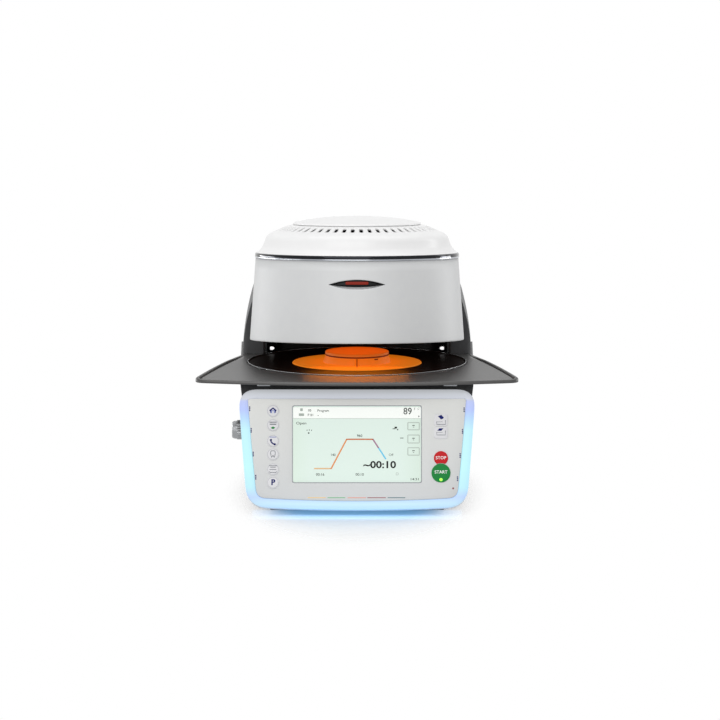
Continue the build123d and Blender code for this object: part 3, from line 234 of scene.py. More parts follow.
def addPiece(name, points, faces, look, body, replaces=(), sharpDeg=35.0, wallMm=0.0):
    # Points in mm become one mesh: doubles merged, faces turned outwards, wall added, edges split by angle.
    mesh = bpy.data.meshes.new(name)
    mesh.from_pydata((np.asarray(points, float) * mm).tolist(), [], np.asarray(faces, int).tolist())
    grid = bmesh.new()
    grid.from_mesh(mesh)
    bmesh.ops.remove_doubles(grid, verts=grid.verts, dist=0.002 * mm)
    bmesh.ops.dissolve_degenerate(grid, edges=grid.edges, dist=0.001 * mm)
    loose = [v for v in grid.verts if not v.link_faces]
    bmesh.ops.delete(grid, geom=loose, context="VERTS")
    bmesh.ops.recalc_face_normals(grid, faces=grid.faces)
    grid.to_mesh(mesh)
    grid.free()
    mesh.shade_smooth()
    mesh.set_sharp_from_angle(angle=radians(sharpDeg))
    piece = addObject(name, mesh)
    if wallMm:
        wall = piece.modifiers.new("wall", "SOLIDIFY")
        wall.thickness = wallMm * mm
        wall.offset = -1.0
    mesh.materials.append(mat(look))
    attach(piece, body)
    if replaces:
        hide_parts(*replaces)


def gridFaces(rows, cols, closeRows=False, closeCols=False, keep=None):
    # Quads between neighbouring rows and columns of a grid, wrapping where it closes.
    r = np.arange(rows if closeRows else rows - 1)
    c = np.arange(cols if closeCols else cols - 1)
    i, j = np.meshgrid(r, c, indexing="ij")
    iNext, jNext = (i + 1) % rows, (j + 1) % cols
    quads = np.stack([i * cols + j, i * cols + jNext, iNext * cols + jNext, iNext * cols + j], -1)
    return (quads[keep] if keep is not None else quads).reshape(-1, 4)


def rounded(points, radius, steps=6, closed=False):
    # Each corner of a line of points becomes a parabola arc that starts radius before and ends radius after it.
    pts = np.asarray(points, float)
    radii = np.broadcast_to(np.asarray(radius, float), (len(pts),))
    t = np.linspace(0, 1, steps)[:, None]
    out = [] if closed else [pts[:1]]
    count = len(pts)
    for k in range(count) if closed else range(1, count - 1):
        corner, before, after = pts[k], pts[k - 1], pts[(k + 1) % count]
        toBefore, toAfter = before - corner, after - corner
        a = corner + toBefore * min(0.499, radii[k] / max(np.linalg.norm(toBefore), 1e-9))
        b = corner + toAfter * min(0.499, radii[k] / max(np.linalg.norm(toAfter), 1e-9))
        out.append((1 - t) ** 2 * a + 2 * t * (1 - t) * corner + t ** 2 * b)
    if not closed:
        out.append(pts[-1:])
    return np.concatenate(out)


def around(count):
    # So many bearings at equal steps of a whole turn.
    return np.linspace(0, 2 * pi, count, endpoint=False)


def roundAxis(radius, angle, height):
    # Points round the chamber's upright axis: x = r sin a, y = centre - r cos a, z = h.
    flat = radius * np.sin(angle), place["chamberY"] - radius * np.cos(angle), height
    return np.stack(np.broadcast_arrays(*flat), -1)


def turned(profile, segments, lift):
    # Radius and height pairs swept round the chamber's axis.
    profile = np.asarray(profile, float)
    angle = around(segments)
    return roundAxis(profile[:, :1], angle, profile[:, 1:] + lift).reshape(-1, 3)


def tiltHead(points):
    # Turns head points, given closed, about the hinge to the stored opening.
    a = radians(place["restOpen"])
    p = np.asarray(points, float).reshape(-1, 3)
    y, z = p[:, 1] - hingeY, p[:, 2] - hingeZ
    return np.stack([p[:, 0], hingeY + y * cos(a) + z * sin(a), hingeZ - y * sin(a) + z * cos(a)], -1)


def onPanel(points):
    # Points (across, up the slope, out of the panel) to the part's frame.
    a = radians(place["panelLean"])
    p = np.asarray(points, float).reshape(-1, 3)
    return np.stack([p[:, 0], place["panelFootY"] + p[:, 1] * sin(a) - p[:, 2] * cos(a),
                     place["panelFootZ"] + p[:, 1] * cos(a) + p[:, 2] * sin(a)], -1)


def outlineNormals(outline):
    # Outward normal of a closed flat outline at each point, from the neighbours' chord.
    chord = np.roll(outline, -1, 0) - np.roll(outline, 1, 0)
    normal = np.stack([chord[:, 1], -chord[:, 0]], -1)
    return normal / np.maximum(np.linalg.norm(normal, axis=1, keepdims=True), 1e-9)


def resample(outline, count):
    # The same closed outline with points at equal steps of its length.
    closed = np.concatenate([outline, outline[:1]])
    step = np.linalg.norm(np.diff(closed, axis=0), axis=1)
    along = np.concatenate([[0], np.cumsum(step)])
    at = np.linspace(0, along[-1], count, endpoint=False)
    return np.stack([np.interp(at, along, closed[:, 0]), np.interp(at, along, closed[:, 1])], -1)


def layers(rows):
    # Rows of flat points, each with one height or a height per point, as one array of points.
    return np.concatenate([np.stack([*flat.T, np.broadcast_to(z, len(flat))], -1) for flat, z in rows])


def slab(outline, low, high, edge=0.6, steps=4, crown=0.0):
    # A flat outline made solid: its rim has a quarter-round at each face, and rows shrink to a centre point.
    normal, centre = outlineNormals(outline), outline.mean(0)
    turn = np.linspace(0, pi / 2, steps)
    more, less = edge * (1 - np.sin(turn)), edge * (1 - np.cos(turn))
    rim = [(outline - normal * s, low + z) for s, z in zip(more, less)]
    rim += [(outline - normal * s, high - z) for s, z in zip(less, more)]
    bottom = [(centre + (rim[0][0] - centre) * s, low) for s in (0.0, 0.6)]
    top = [(centre + (rim[-1][0] - centre) * s, high + crown * c) for s, c in ((0.6, 0.64), (0.0, 1.0))]
    rows = bottom + rim + top
    return layers(rows), gridFaces(len(rows), len(outline), closeCols=True)


def frameRing(outer, inner, low, high, edge=0.8, steps=4, dish=0.0):
    # A ring between two outlines of as many points: up the outside, across, down the inside, back below.
    outward, inward = outlineNormals(outer), outlineNormals(inner)
    turn = np.linspace(0, pi / 2, steps)
    more, less = edge * (1 - np.sin(turn)), edge * (1 - np.cos(turn))
    rows = [(outer - outward * s, low + z) for s, z in zip(more, less)]
    rows += [(outer - outward * s, high - z) for s, z in zip(less, more)]
    rows += [(outer * (1 - share) + inner * share, high + dish * sin(pi * share))
             for share in (0.25, 0.5, 0.75)]
    rows += [(inner + inward * s, high - z) for s, z in zip(more, less)]
    rows.append((inner, low))
    return layers(rows), gridFaces(len(rows), len(outer), closeRows=True, closeCols=True)


def disc(radius, count=64):
    # A circle: radius times cosine and sine of equal steps.
    angle = around(count)
    return np.stack([radius * np.cos(angle), radius * np.sin(angle)], -1)


def box2d(width, height, radius, steps=6):
    # A rectangle about the origin with rounded corners.
    w, h = width / 2, height / 2
    return rounded([(-w, -h), (w, -h), (w, h), (-w, h)], radius, steps, closed=True)


def ribbon(points, width):
    # A flat stroke: the line shifted half its width to both sides along its own normal.
    p = np.asarray(points, float)
    tangent = np.gradient(p, axis=0)
    tangent /= np.maximum(np.linalg.norm(tangent, axis=1, keepdims=True), 1e-9)
    side = np.stack([-tangent[:, 1], tangent[:, 0]], -1) * width / 2
    return np.concatenate([p + side, p - side]), gridFaces(2, len(p))


def line(points, width):
    # An open stroke; a straight one has a point in its middle.
    if len(points) == 2:
        points = np.linspace(points[0], points[1], 3)
    return ribbon(points, width)


def loop(points, width):
    # A closed outline as a stroke.
    return ribbon(np.concatenate([points, points[:2]]), width)


def addTurned(name, profile, look, body, replaces, segments=192, closed=True, sharpDeg=35.0):
    # A profile swept round the chamber's axis; heights are over the skirt's foot on the head, else the tray.
    onHead = body == "head"
    points = turned(profile, segments, place["skirtLow" if onHead else "trayTop"])
    addPiece(name, tiltHead(points) if onHead else points, gridFaces(len(profile), segments, closed, True),
             look, body, replaces, sharpDeg)


print("stage: helpers ready")


headSize = {"footR": 131.5, "topR": 124.5, "height": 101.0, "wall": 2.0, "footRound": (1.2, 0.45, 0.1),
            "levels": (0.0, 0.25, 0.9, 2.0, 6.0, 24.0, 46.0, 62.0), "shoulder": 88.0, "recessLip": 1.2,
            "neckHalf": 58.0, "neckBehind": 90.0, "neckLow": 203.0, "neckHigh": 254.0}


def skirtRadius(h):
    # The skirt narrows in a straight line from its foot to its top.
    return headSize["footR"] + (headSize["topR"] - headSize["footR"]) * h / headSize["height"]


statusSize = {"width": 70.0, "height": 12.0, "centre": 72.2, "depth": 5.0, "slope": 2.2,
              "rows": (-1.0, -0.74, -0.46, 0.0, 0.6, 0.86, 1.0),
              "rowDepths": (0.25, 0.9, 1.0, 1.0, 1.0, 1.0, 0.3),
              "lensWidth": 28.0, "lensHeight": 3.6, "lensUp": 1.9, "lensIn": 3.6}


def lensEdge(across):
    # Half height of the recess between its two arcs at a place across: a circle's sagitta, zero at its tips.
    half, rise = statusSize["width"] / 2, statusSize["height"] / 2
    radius = (half ** 2 + rise ** 2) / (2 * rise)
    inside = np.clip(radius ** 2 - np.asarray(across) ** 2, 0, None)
    return np.clip(np.sqrt(inside) - (radius - rise), 0, None)


def makeSkirt():
    # Rows follow the recess's two arcs, and the quads between them are left out over its width.
    s, mid, half = headSize, statusSize["centre"], statusSize["width"] / 2
    halfAngle = half / skirtRadius(mid)
    near = np.sin(np.linspace(-pi / 2, pi / 2, 49)) * halfAngle
    far = np.linspace(halfAngle, 2 * pi - halfAngle, 208)[1:-1]
    angle = np.concatenate([near, far])
    edge = lensEdge(np.where(np.abs(angle) <= halfAngle, angle / halfAngle * half, half))
    gap = np.maximum(edge, 0.02)
    level = [np.full_like(angle, h) for h in s["levels"]]
    level += [mid - edge - s["recessLip"], mid - gap, mid + gap, mid + edge + s["recessLip"]]
    level += [np.full_like(angle, h) for h in (s["shoulder"], s["height"])]
    level = np.stack(level)
    radius = skirtRadius(level)
    radius[:3] -= np.array(s["footRound"])[:, None]
    points = roundAxis(radius, angle, place["skirtLow"] + level)
    keep = np.ones((len(level) - 1, len(angle)), bool)
    keep[len(s["levels"]) + 1, :len(near) - 1] = False
    faces = gridFaces(len(level), len(angle), closeCols=True, keep=keep)
    # the neck passes through the back: quads there are left out
    centre = points.reshape(-1, 3)[faces].mean(1)
    back = (centre[:, 1] > place["chamberY"] + s["neckBehind"]) & (np.abs(centre[:, 0]) < s["neckHalf"]) \
        & (centre[:, 2] > s["neckLow"]) & (centre[:, 2] < s["neckHigh"])
    addPiece("skirtShell", tiltHead(points), faces[~back], "silverCoat", "head", ["head_skirt"],
             wallMm=s["wall"])


def makeStatus():
    # The recess is a dish with its floor at a fixed depth, sloping sides and the lens in its upper part.
    s = statusSize
    across = np.sin(np.linspace(-pi / 2, pi / 2, 65)) * (s["width"] / 2 - 0.1)
    edge = lensEdge(across)
    deep = s["depth"] * np.clip(edge / s["slope"], 0, 1)
    level = s["centre"] + np.array(s["rows"])[:, None] * edge
    radius = skirtRadius(level) - np.array(s["rowDepths"])[:, None] * deep
    points = tiltHead(roundAxis(radius, across / skirtRadius(s["centre"]), place["skirtLow"] + level))
    faces = gridFaces(*level.shape)
    lip = 2 * (len(across) - 1)
    addPiece("statusDish", points, faces[lip:], "bezelBlack", "head", ["status_bezel"],
             wallMm=0.6)
    # the lower rows, which face up, are pale grey as painted light
    addPiece("statusLip", points, faces[:lip], "lipLitGrey", "head", (), wallMm=0.5)
    flat, faces = slab(box2d(s["lensWidth"], s["lensHeight"], 1.2), -1.2, 1.2, 0.5)
    front = skirtRadius(s["centre"]) - s["lensIn"]
    lens = np.stack([flat[:, 0], place["chamberY"] - front - flat[:, 2],
                     place["skirtLow"] + s["centre"] + s["lensUp"] + flat[:, 1]], -1)
    addPiece("statusLens", tiltHead(lens), faces, "lensRed", "head", ["status_lens"])


topSize = {"vents": 56, "ventIn": 86.5, "ventOut": 97.5, "ventWidth": 4.6, "endSteps": (0.0, 0.3, 0.9, 1.9),
           "slope": ((86.0, 98.4), (139.8, 134.6)), "wall": 2.4,
           "outer": [(123.4, 107.0), (122.0, 108.0), (119.2, 110.6), (116.0, 114.8), (113.9, 120.0),
                     (112.3, 125.4), (109.6, 129.2), (105.2, 131.9), (98.9, 134.4)],
           "inner": [(84.0, 140.4), (79.4, 141.3), (77.0, 141.4), (60.0, 142.2)],
           "shadeSheet": [(100.0, 130.4), (92.0, 133.4), (84.0, 136.4), (84.0, 135.6), (100.0, 129.6)]}


def makeTop():
    # Profile of the cover; between the two vent radii the columns bend round each slot's ends.
    s = topSize
    near, far, w, step = s["ventIn"], s["ventOut"], s["ventWidth"] / 2, np.array(s["endSteps"])
    outer = rounded(s["outer"], 2.2, 5)
    slotR = np.concatenate([far - step, near + step[::-1]])
    profile = np.concatenate([outer, np.stack([slotR, np.interp(slotR, *s["slope"])], -1), s["inner"]])
    reach = 1 - ((slotR - (far - w)).clip(0) / w) ** 2 - ((near + w - slotR).clip(0) / w) ** 2
    first, last = len(outer), len(outer) + len(slotR)
    halfWidth = np.full(len(profile), w)
    halfWidth[first:last] = w * np.sqrt(reach.clip(0, 1)).clip(0.12)
    pitch = 2 * pi / s["vents"]
    half = (halfWidth / np.maximum(profile[:, 0], 1))[:, None]
    columns = np.concatenate([-half, half, half + (pitch - 2 * half) * np.array([0.33, 0.66])], 1)
    starts = (np.arange(s["vents"]) + 0.5) * pitch
    angle = (starts[None, :, None] + columns[:, None, :]).reshape(len(profile), -1)
    points = roundAxis(profile[:, :1], angle, place["skirtLow"] + profile[:, 1:])
    keep = np.ones((len(profile) - 1, angle.shape[1]), bool)
    keep[first:last - 1, 0::4] = False
    faces = gridFaces(len(profile), angle.shape[1], closeCols=True, keep=keep)
    addPiece("topCover", tiltHead(points), faces, "absWhite", "head", ["head_top"],
             wallMm=s["wall"])
    # a dark sheet under the slots, painted shade so that nothing bright shows through
    addTurned("ventShadeSheet", s["shadeSheet"], "ventShadeBlack", "head", (), 96)


headRounds = {
    "trim": [(122.6, 101.0), (124.9, 101.0), (125.4, 102.2), (125.4, 105.9), (124.2, 107.2), (122.6, 107.2)],
    "lip": [(124.4, 100.9), (125.1, 100.9), (125.5, 101.6), (125.5, 102.9), (124.9, 103.2)],
    "cap": [(60.0, 141.6), (77.9, 141.6), (79.0, 142.4), (78.4, 143.7), (75.6, 144.8), (68.0, 146.2),
            (59.0, 147.8), (48.0, 149.3), (37.3, 150.3), (19.0, 151.3), (0.0, 151.7)],
    "ring": [(50.5, 4.0), (50.5, 1.0), (129.1, 1.0), (129.1, 4.0)],
}


def makeHeadRounds():
    # Trim band, near black as a painted dark reflection, with its lip pale as a painted highlight; the cap in
    # the cover's middle and the ring that closes the head below.
    s = headRounds
    # the trim's near-black chrome is a painted dark reflection, the lip's pale chrome a painted highlight
    addTurned("trimBand", rounded(s["trim"], 1.2, 6, closed=True), "chromeDarkReflection", "head", ["trim_ring"],
              256, sharpDeg=60)
    addTurned("trimLip", rounded(s["lip"], 0.3, 4, closed=True), "chromePaleHighlight", "head", (), 256,
              sharpDeg=60)
    addTurned("capShell", rounded(s["cap"], 1.2, 5), "absWhite", "head", ["head_cap"],
              closed=False, sharpDeg=50)
    addTurned("headRing", rounded(s["ring"], 0.6, 5, closed=True), "ringGlowLit", "head", ["head_plate"])


makeSkirt()
makeStatus()
makeTop()
makeHeadRounds()
print("stage: head")


traySize = {"half": 199.4, "tipY": -182.0, "bow": 30.0, "neckHalf": 138.7, "neckY": 61.0, "bulge": 3.4,
            "wingX": 112.6, "backR": 136.2, "tipRadius": 14.0, "thick": 4.4, "edge": 0.9, "holeR": 134.4,
            "beadWidth": 5.0, "beadHigh": 1.5, "beadFrontY": -186.0, "beadFrontFade": 14.0, "beadBackGap": 16.0,
            "beadBackFade": 60.0, "sideFrom": 0.55, "sideFade": 0.3, "grooveWidth": 2.6, "grooveDeep": 1.6,
            "latchAngle": 60.0, "latchWide": 9.0, "latchDeep": 6.0}


def arc(a, m, b, count):
    # Circle through three flat points, sampled evenly in angle from the first to the last.
    a, m, b = (np.asarray(p, float) for p in (a, m, b))
    d = 2 * (a[0] * (m[1] - b[1]) + m[0] * (b[1] - a[1]) + b[0] * (a[1] - m[1]))
    sq = [p @ p for p in (a, m, b)]
    cx = (sq[0] * (m[1] - b[1]) + sq[1] * (b[1] - a[1]) + sq[2] * (a[1] - m[1])) / d
    cy = (sq[0] * (b[0] - m[0]) + sq[1] * (a[0] - b[0]) + sq[2] * (m[0] - a[0])) / d
    centre = np.array([cx, cy])
    start, middle, end = (np.arctan2(*(p - centre)[::-1]) for p in (a, m, b))
    turn = (end - start) % (2 * pi)
    if (middle - start) % (2 * pi) > turn:
        turn -= 2 * pi
    t = start + turn * np.linspace(0, 1, count)
    return centre + np.linalg.norm(a - centre) * np.stack([np.cos(t), np.sin(t)], -1)


def roundedLoop(runs, radii):
    # Closed loop of sampled runs whose shared corners are cut back by radii and bridged by parabolas.
    t = np.linspace(0, 1, 9)[:, None]
    cut = []
    for k, run in enumerate(runs):
        along = np.concatenate([[0], np.cumsum(np.linalg.norm(np.diff(run, axis=0), axis=1))])
        start, stop = radii[k - 1], along[-1] - radii[k]
        at = np.linspace(start, stop, len(run))
        cut.append(np.stack([np.interp(at, along, run[:, 0]), np.interp(at, along, run[:, 1])], -1))
    out = []
    for k, run in enumerate(cut):
        corner, after = runs[k][-1], cut[(k + 1) % len(cut)][0]
        out.append(run)
        out.append(((1 - t) ** 2 * run[-1] + 2 * t * (1 - t) * corner + t ** 2 * after)[1:-1])
    return np.concatenate(out)


def trayOutline(count=480):
    # Bowed front, swelling sides that narrow to the neck, and a back round the chamber between two wings.
    s = traySize
    half, neck, tip, wing = s["half"], s["neckHalf"], s["tipY"], s["wingX"]
    mid = ((half + neck) / 2 + s["bulge"], (tip + s["neckY"]) / 2)
    runs = [arc((-half, tip), (0, tip - s["bow"]), (half, tip), 60),
            arc((half, tip), mid, (neck, s["neckY"]), 40),
            np.array([(neck, s["neckY"]), (wing, s["neckY"])]),
            arc((wing, s["neckY"]), (0, place["chamberY"] + s["backR"]), (-wing, s["neckY"]), 60),
            np.array([(-wing, s["neckY"]), (-neck, s["neckY"])]),
            arc((-neck, s["neckY"]), (-mid[0], mid[1]), (-half, tip), 40)]
    return resample(roundedLoop(runs, [s["tipRadius"], 1.0, 0.5, 0.5, 1.0, s["tipRadius"]]), count)


def makeTray():
    # Plate between its outline and the insert's hole; near the side edges the surface swells into a bead.
    top, s = place["trayTop"], traySize
    outer = trayOutline()
    normal, bare = outlineNormals(outer), np.full(len(outer), top)
    centre = np.array([0, place["chamberY"]])
    toward = outer - centre
    toward /= np.linalg.norm(toward, axis=1, keepdims=True)
    hole = centre + toward * s["holeR"]
    side = np.clip((np.abs(normal[:, 0]) - s["sideFrom"]) / s["sideFade"], 0, 1) \
        * np.clip((outer[:, 1] - s["beadFrontY"]) / s["beadFrontFade"], 0, 1) \
        * np.clip((s["neckY"] - s["beadBackGap"] - outer[:, 1]) / s["beadBackFade"], 0, 1)
    room = np.linalg.norm(outer - hole, axis=1)
    width = np.minimum(s["beadWidth"], room * 0.45)
    edge = s["edge"]
    rows = [(outer - normal * (edge * (1 - np.sin(a))), top - s["thick"] + edge * (1 - np.cos(a)))
            for a in np.linspace(0, pi / 2, 4)]
    for share in np.linspace(0, 1, 9):
        lift = s["beadHigh"] * side * np.sin(pi * share) ** 0.8
        back = width * share
        drop = edge * (1 - np.sqrt(np.clip(1 - (1 - np.clip(back / edge, 0, 1)) ** 2, 0, 1)))
        rows.append((outer - normal * back[:, None], top + lift - drop))
    inside = np.minimum(s["grooveWidth"], room * 0.2)
    for share, deep in ((0.25, 1.0), (0.6, 1.0), (1.0, 0.0)):
        rows.append((outer - normal * (width + inside * share)[:, None], top - s["grooveDeep"] * deep * side))
    start = outer - normal * (width + inside)[:, None]
    rows += [(start + (hole - start) * share, bare) for share in (0.3, 0.6, 0.9)]
    rows.append((hole + toward * np.minimum(0.6, room * 0.05)[:, None], bare))
    rows += [(hole, top - 0.5), (hole, top - s["thick"])]
    addPiece("trayPlate", layers(rows), gridFaces(len(rows), len(outer), True, True), "anodisedGrey", "base",
             ["cooling_tray"], sharpDeg=50)


# two small studs behind the insert, which glow white as a painted highlight
studGlintSize = {"x": 105.6, "y": 70.6, "z": 170.4, "wide": 7.2, "high": 4.0}
firingSize = {
    "insert": ([(79.8, -4.4), (134.2, -4.4), (134.2, 0.4), (133.2, 0.5), (132.4, -0.8), (79.8, -0.8)],
               (0.3, 0.3, 0.3, 0.4, 1.2, 0.3)),
    "rim": ([(133.3, 0.35), (134.25, 0.35), (134.25, 0.85), (133.3, 0.85)], 0.25),
    "pad": ([(0, -40.0), (79.4, -40.0), (79.4, -0.8), (78.4, 0.0), (0, 0.0)], (0, 0.5, 0.8, 0.8, 0)),
    "foot": ([(0, 0.05), (41.7, 0.05), (41.0, 2.2), (38.0, 9.0), (37.2, 10.4), (0, 10.4)],
             (0, 0.4, 2.0, 2.0, 0.3, 0)),
    "joint": ([(38.3, 8.6), (39.0, 8.6), (39.0, 10.5), (38.3, 10.5)], 0.2),
    "plate": ([(0, 10.4), (39.1, 10.4), (39.1, 12.7), (38.4, 13.4), (0, 13.4)], (0, 0.4, 0.5, 0.5, 0)),
    "slotHalf": 1.3, "slotDeep": 3.4, "footR": 40.0,
    # points of the slit: across, behind the axis, over the tray
    "slit": [(-0.55, -42.2, 0.06), (0.55, -42.2, 0.06), (0.55, -41.1, 2.2), (-0.55, -41.1, 2.2),
             (-0.55, -38.4, 8.2), (0.55, -38.4, 8.2), (-0.45, -58.0, 0.06), (0.45, -58.0, 0.06)],
    "holeWide": 5.2, "holeHigh": 1.5, "holeAngle": 37.0, "holeR": 38.6, "holeUp": 6.8,
}


def besideAxis(radius, across, angle, height):
    # Points at a radius from the chamber's axis in one direction, each moved across that direction.
    points = roundAxis(radius, angle, height)
    points[:, 0] += across * cos(angle)
    points[:, 1] += across * sin(angle)
    return points


def makeFiringPlace():
    # Round pieces are profiles swept round the chamber's axis; the others are flat outlines made solid.
    s, top = firingSize, place["trayTop"]
    # the insert's warm-tinted black is a painted reflection of the orange glow
    addTurned("insertDish", rounded(*s["insert"], 4, closed=True), "enamelBlackGlowTint", "base", ["tray_insert"],
              256)
    addTurned("insertRim", rounded(*s["rim"], 4, closed=True), "steelBright", "base", (), 256)
    addTurned("fibreDisc", rounded(*s["pad"], 5), "fibreHot", "base", ["insulation_disc"],
              closed=False)
    # two latches at the rim of the insert, and behind it two small studs that glow white as a painted highlight
    for side, name in ((-1, "Left"), (1, "Right")):
        flat, faces = slab(box2d(traySize["latchWide"], traySize["latchDeep"], 1.0), 0.0, 1.2, 0.3)
        reach = traySize["holeR"] + traySize["latchDeep"] * 0.3 - flat[:, 1]
        points = besideAxis(reach, flat[:, 0], radians(traySize["latchAngle"]) * side, top - 0.6 + flat[:, 2])
        addPiece("latch" + name, points, faces, "absBlack", "base", ())
        oval = disc(1.0, 40) * np.array([studGlintSize["wide"] / 2, studGlintSize["high"] / 2])
        flat, faces = slab(oval, 0.0, 1.6, 0.5, crown=0.6)
        points = np.stack([side * studGlintSize["x"] + flat[:, 0], studGlintSize["y"] - flat[:, 2],
                           studGlintSize["z"] + flat[:, 1]], -1)
        addPiece("linerStudGlint" + name, points, faces, "studGlintWhite", "base", ())
    # a narrow upright slot at the foot's front: columns within it are pushed inwards
    foot = rounded(*s["foot"], 5)
    angle = around(192)
    nearSlot = np.exp(-((((angle + pi) % (2 * pi) - pi) * s["footR"] / s["slotHalf"]) ** 4))
    shrink = 1 - nearSlot * s["slotDeep"] / s["footR"]
    points = roundAxis(foot[:, :1] * shrink, angle, top + foot[:, 1:]).reshape(-1, 3)
    addPiece("tableFoot", points, gridFaces(len(foot), 192, closeCols=True), "tableSide", "base", ())
    # the slit in the foot, which goes on as a dark line across the fibre, and a small hole beside it: dark
    # pieces as painted shade in the gaps
    points = np.array(s["slit"]) + np.array([0, place["chamberY"], top])
    addPiece("tableSlit", points, [(0, 1, 2, 3), (3, 2, 5, 4), (6, 7, 1, 0)], "gapShadeDark", "base", ())
    flat, faces = slab(box2d(s["holeWide"], s["holeHigh"], 0.6), 0.0, 1.0, 0.2)
    points = besideAxis(s["holeR"] + flat[:, 2], flat[:, 0], radians(s["holeAngle"]),
                        top + s["holeUp"] + flat[:, 1])
    addPiece("tableHole", points, faces, "gapShadeDark", "base", ())
    # a dark line right round under the plate's edge: painted shade under its overhang
    addTurned("tableRimShade", rounded(*s["joint"], 3, closed=True), "gapShadeDark", "base", ())
    addTurned("tablePlate", rounded(*s["plate"], 5), "tableHot", "base", ["firing_table"],
              closed=False)


makeTray()
makeFiringPlace()
print("stage: tray")


panelSize = {"length": 148.9, "topHalf": 145.0, "midHalf": 139.9, "footHalf": 134.0, "footRise": 4.0,
             "topRadius": 23.4, "footRadius": 24.0, "radiusLoss": 1.15, "plateCorner": 2.3, "footLift": 1.2,
             "plateFront": -0.35, "plateBack": -2.8, "printGap": 0.03, "band": 11.5, "ringDeep": 8.0,
             "housingDeep": 26.0}


def panelOutline(inset, topRadius=None, count=400):
    # Bowed foot, swelling sides and a straight top; drawn in by inset, corners bridged smoothly.
    s = panelSize
    lift = s["footLift"] * max(0.0, 1 - inset / s["band"])
    foot, rise = s["footHalf"] - inset, s["footRise"] + inset + lift
    mid, midH = s["midHalf"] - inset, (s["length"] + s["footRise"]) / 2
    top, topH = s["topHalf"] - inset, s["length"] - inset
    runs = [arc((-foot, rise), (0, inset + lift), (foot, rise), 60),
            arc((foot, rise), (mid, midH), (top, topH), 60),
            np.linspace((top, topH), (-top, topH), 60), arc((-top, topH), (-mid, midH), (-foot, rise), 60)]
    loss = s["radiusLoss"] * inset
    low, high = s["footRadius"] - loss, topRadius or s["topRadius"] - loss
    return resample(roundedLoop(runs, [low, high, high, low]), count)


def lightFromBehind(tree, shader, color, share, glow, roughness):
    # One colour as light given off at strength glow, and times share as the surface's own.
    dim = addNode(tree, "Mix", data_type="RGBA", blend_type="MULTIPLY", i6=color, i7=(share, share, share, 1),
                  i0=1.0)
    tree.links.new(dim.outputs[2], shader.inputs["Base Color"])
    tree.links.new(color, shader.inputs["Emission Color"])
    shader.inputs["Emission Strength"].default_value = glow
    shader.inputs["Roughness"].default_value = roughness
    shader.inputs["Specular IOR Level"].default_value = 0.2


bandGlow = {"share": 0.5, "glow": 0.6, "low": 9.0, "high": 153.0,
            "stops": [(0.0, "#B8DCFA"), (0.05, "#C4E4F8"), (0.11, "#BCD4FA"), (0.19, "#BCEAFC"),
                      (0.36, "#C0F2FA"), (0.66, "#C0EEFC"), (0.76, "#B8D8FC"), (0.83, "#B6C6F8"),
                      (0.90, "#BCC7F1"), (0.918, "#CCD0DA"), (1.0, "#C6C9CC")]}


def makeBandLight():
    # Light diffuser, opal acrylic: cyan at mid height, periwinkle above, blue at the foot, unlit along the top.
    material, tree, shader = newMaterial("opalDiffuser")
    height = addNode(tree, "MapRange", Value=ownCoordinate(tree, "Z"), From_Min=bandGlow["low"] * mm,
                     From_Max=bandGlow["high"] * mm)
    ramp = addNode(tree, "ValToRGB", Fac=height.outputs[0])
    while len(ramp.color_ramp.elements) < len(bandGlow["stops"]):
        ramp.color_ramp.elements.new(0.5)
    for element, (at, color) in zip(ramp.color_ramp.elements, bandGlow["stops"]):
        element.position = at
        element.color = srgb(color)
    lightFromBehind(tree, shader, ramp.outputs[0], bandGlow["share"], bandGlow["glow"], 0.4)
    return material


materials["opalDiffuser"] = makeBandLight()


screenSize = {"width": 157.0, "height": 94.3, "centre": 81.3, "front": -0.65, "printGap": 0.05, "share": 0.5,
              "glow": 0.45, "middle": "#E6F6ED", "edge": "#E2F3E6", "edgeFrom": 55.0, "edgeTo": 80.0}


def makeScreenGlass():
    # Display behind glass, backlit: pale mint, a shade darker to its edges.
    s = screenSize
    material, tree, shader = newMaterial("backlitGlass")
    side = addNode(tree, "Math", operation="ABSOLUTE", i0=ownCoordinate(tree, "X"))
    fade = addNode(tree, "MapRange", Value=side.outputs[0], From_Min=s["edgeFrom"] * mm,
                   From_Max=s["edgeTo"] * mm)
    tint = addNode(tree, "Mix", data_type="RGBA", i6=srgb(s["middle"]), i7=srgb(s["edge"]), i0=fade.outputs[0])
    lightFromBehind(tree, shader, tint.outputs[2], s["share"], s["glow"], 0.3)
    return material


materials["backlitGlass"] = makeScreenGlass()


def addFlat(name, flat, faces, look, depth, body="base", slot="plate_grey"):
    # A print: flat points at one depth out of the panel.
    addPiece(name, onPanel(layers([(flat, depth)])), faces, look, body, ())


def stack(parts):
    # Several (points, faces) pairs as one pair, the faces shifted past the points before them.
    points, faces, before = [], [], 0
    for p, f in parts:
        points.append(p)
        faces.append(f + before)
        before += len(p)
    return np.concatenate(points), np.concatenate(faces)


def fan(outline):
    # A filled flat outline: rows shrink to its centre.
    centre = outline.mean(0)
    rows = [centre + (outline - centre) * s for s in (1.0, 0.5, 0.0)]
    return np.concatenate(rows), gridFaces(3, len(outline), closeCols=True)


def shift(pair, x, h):
    # A shape's (points, faces) pair moved to a place on the panel.
    return pair[0] + np.array([x, h]), pair[1]


def screenOutline(more, radius, count):
    # The screen's rounded rectangle about its own middle, wider and higher by more.
    return resample(box2d(screenSize["width"] + more, screenSize["height"] + more, radius), count)


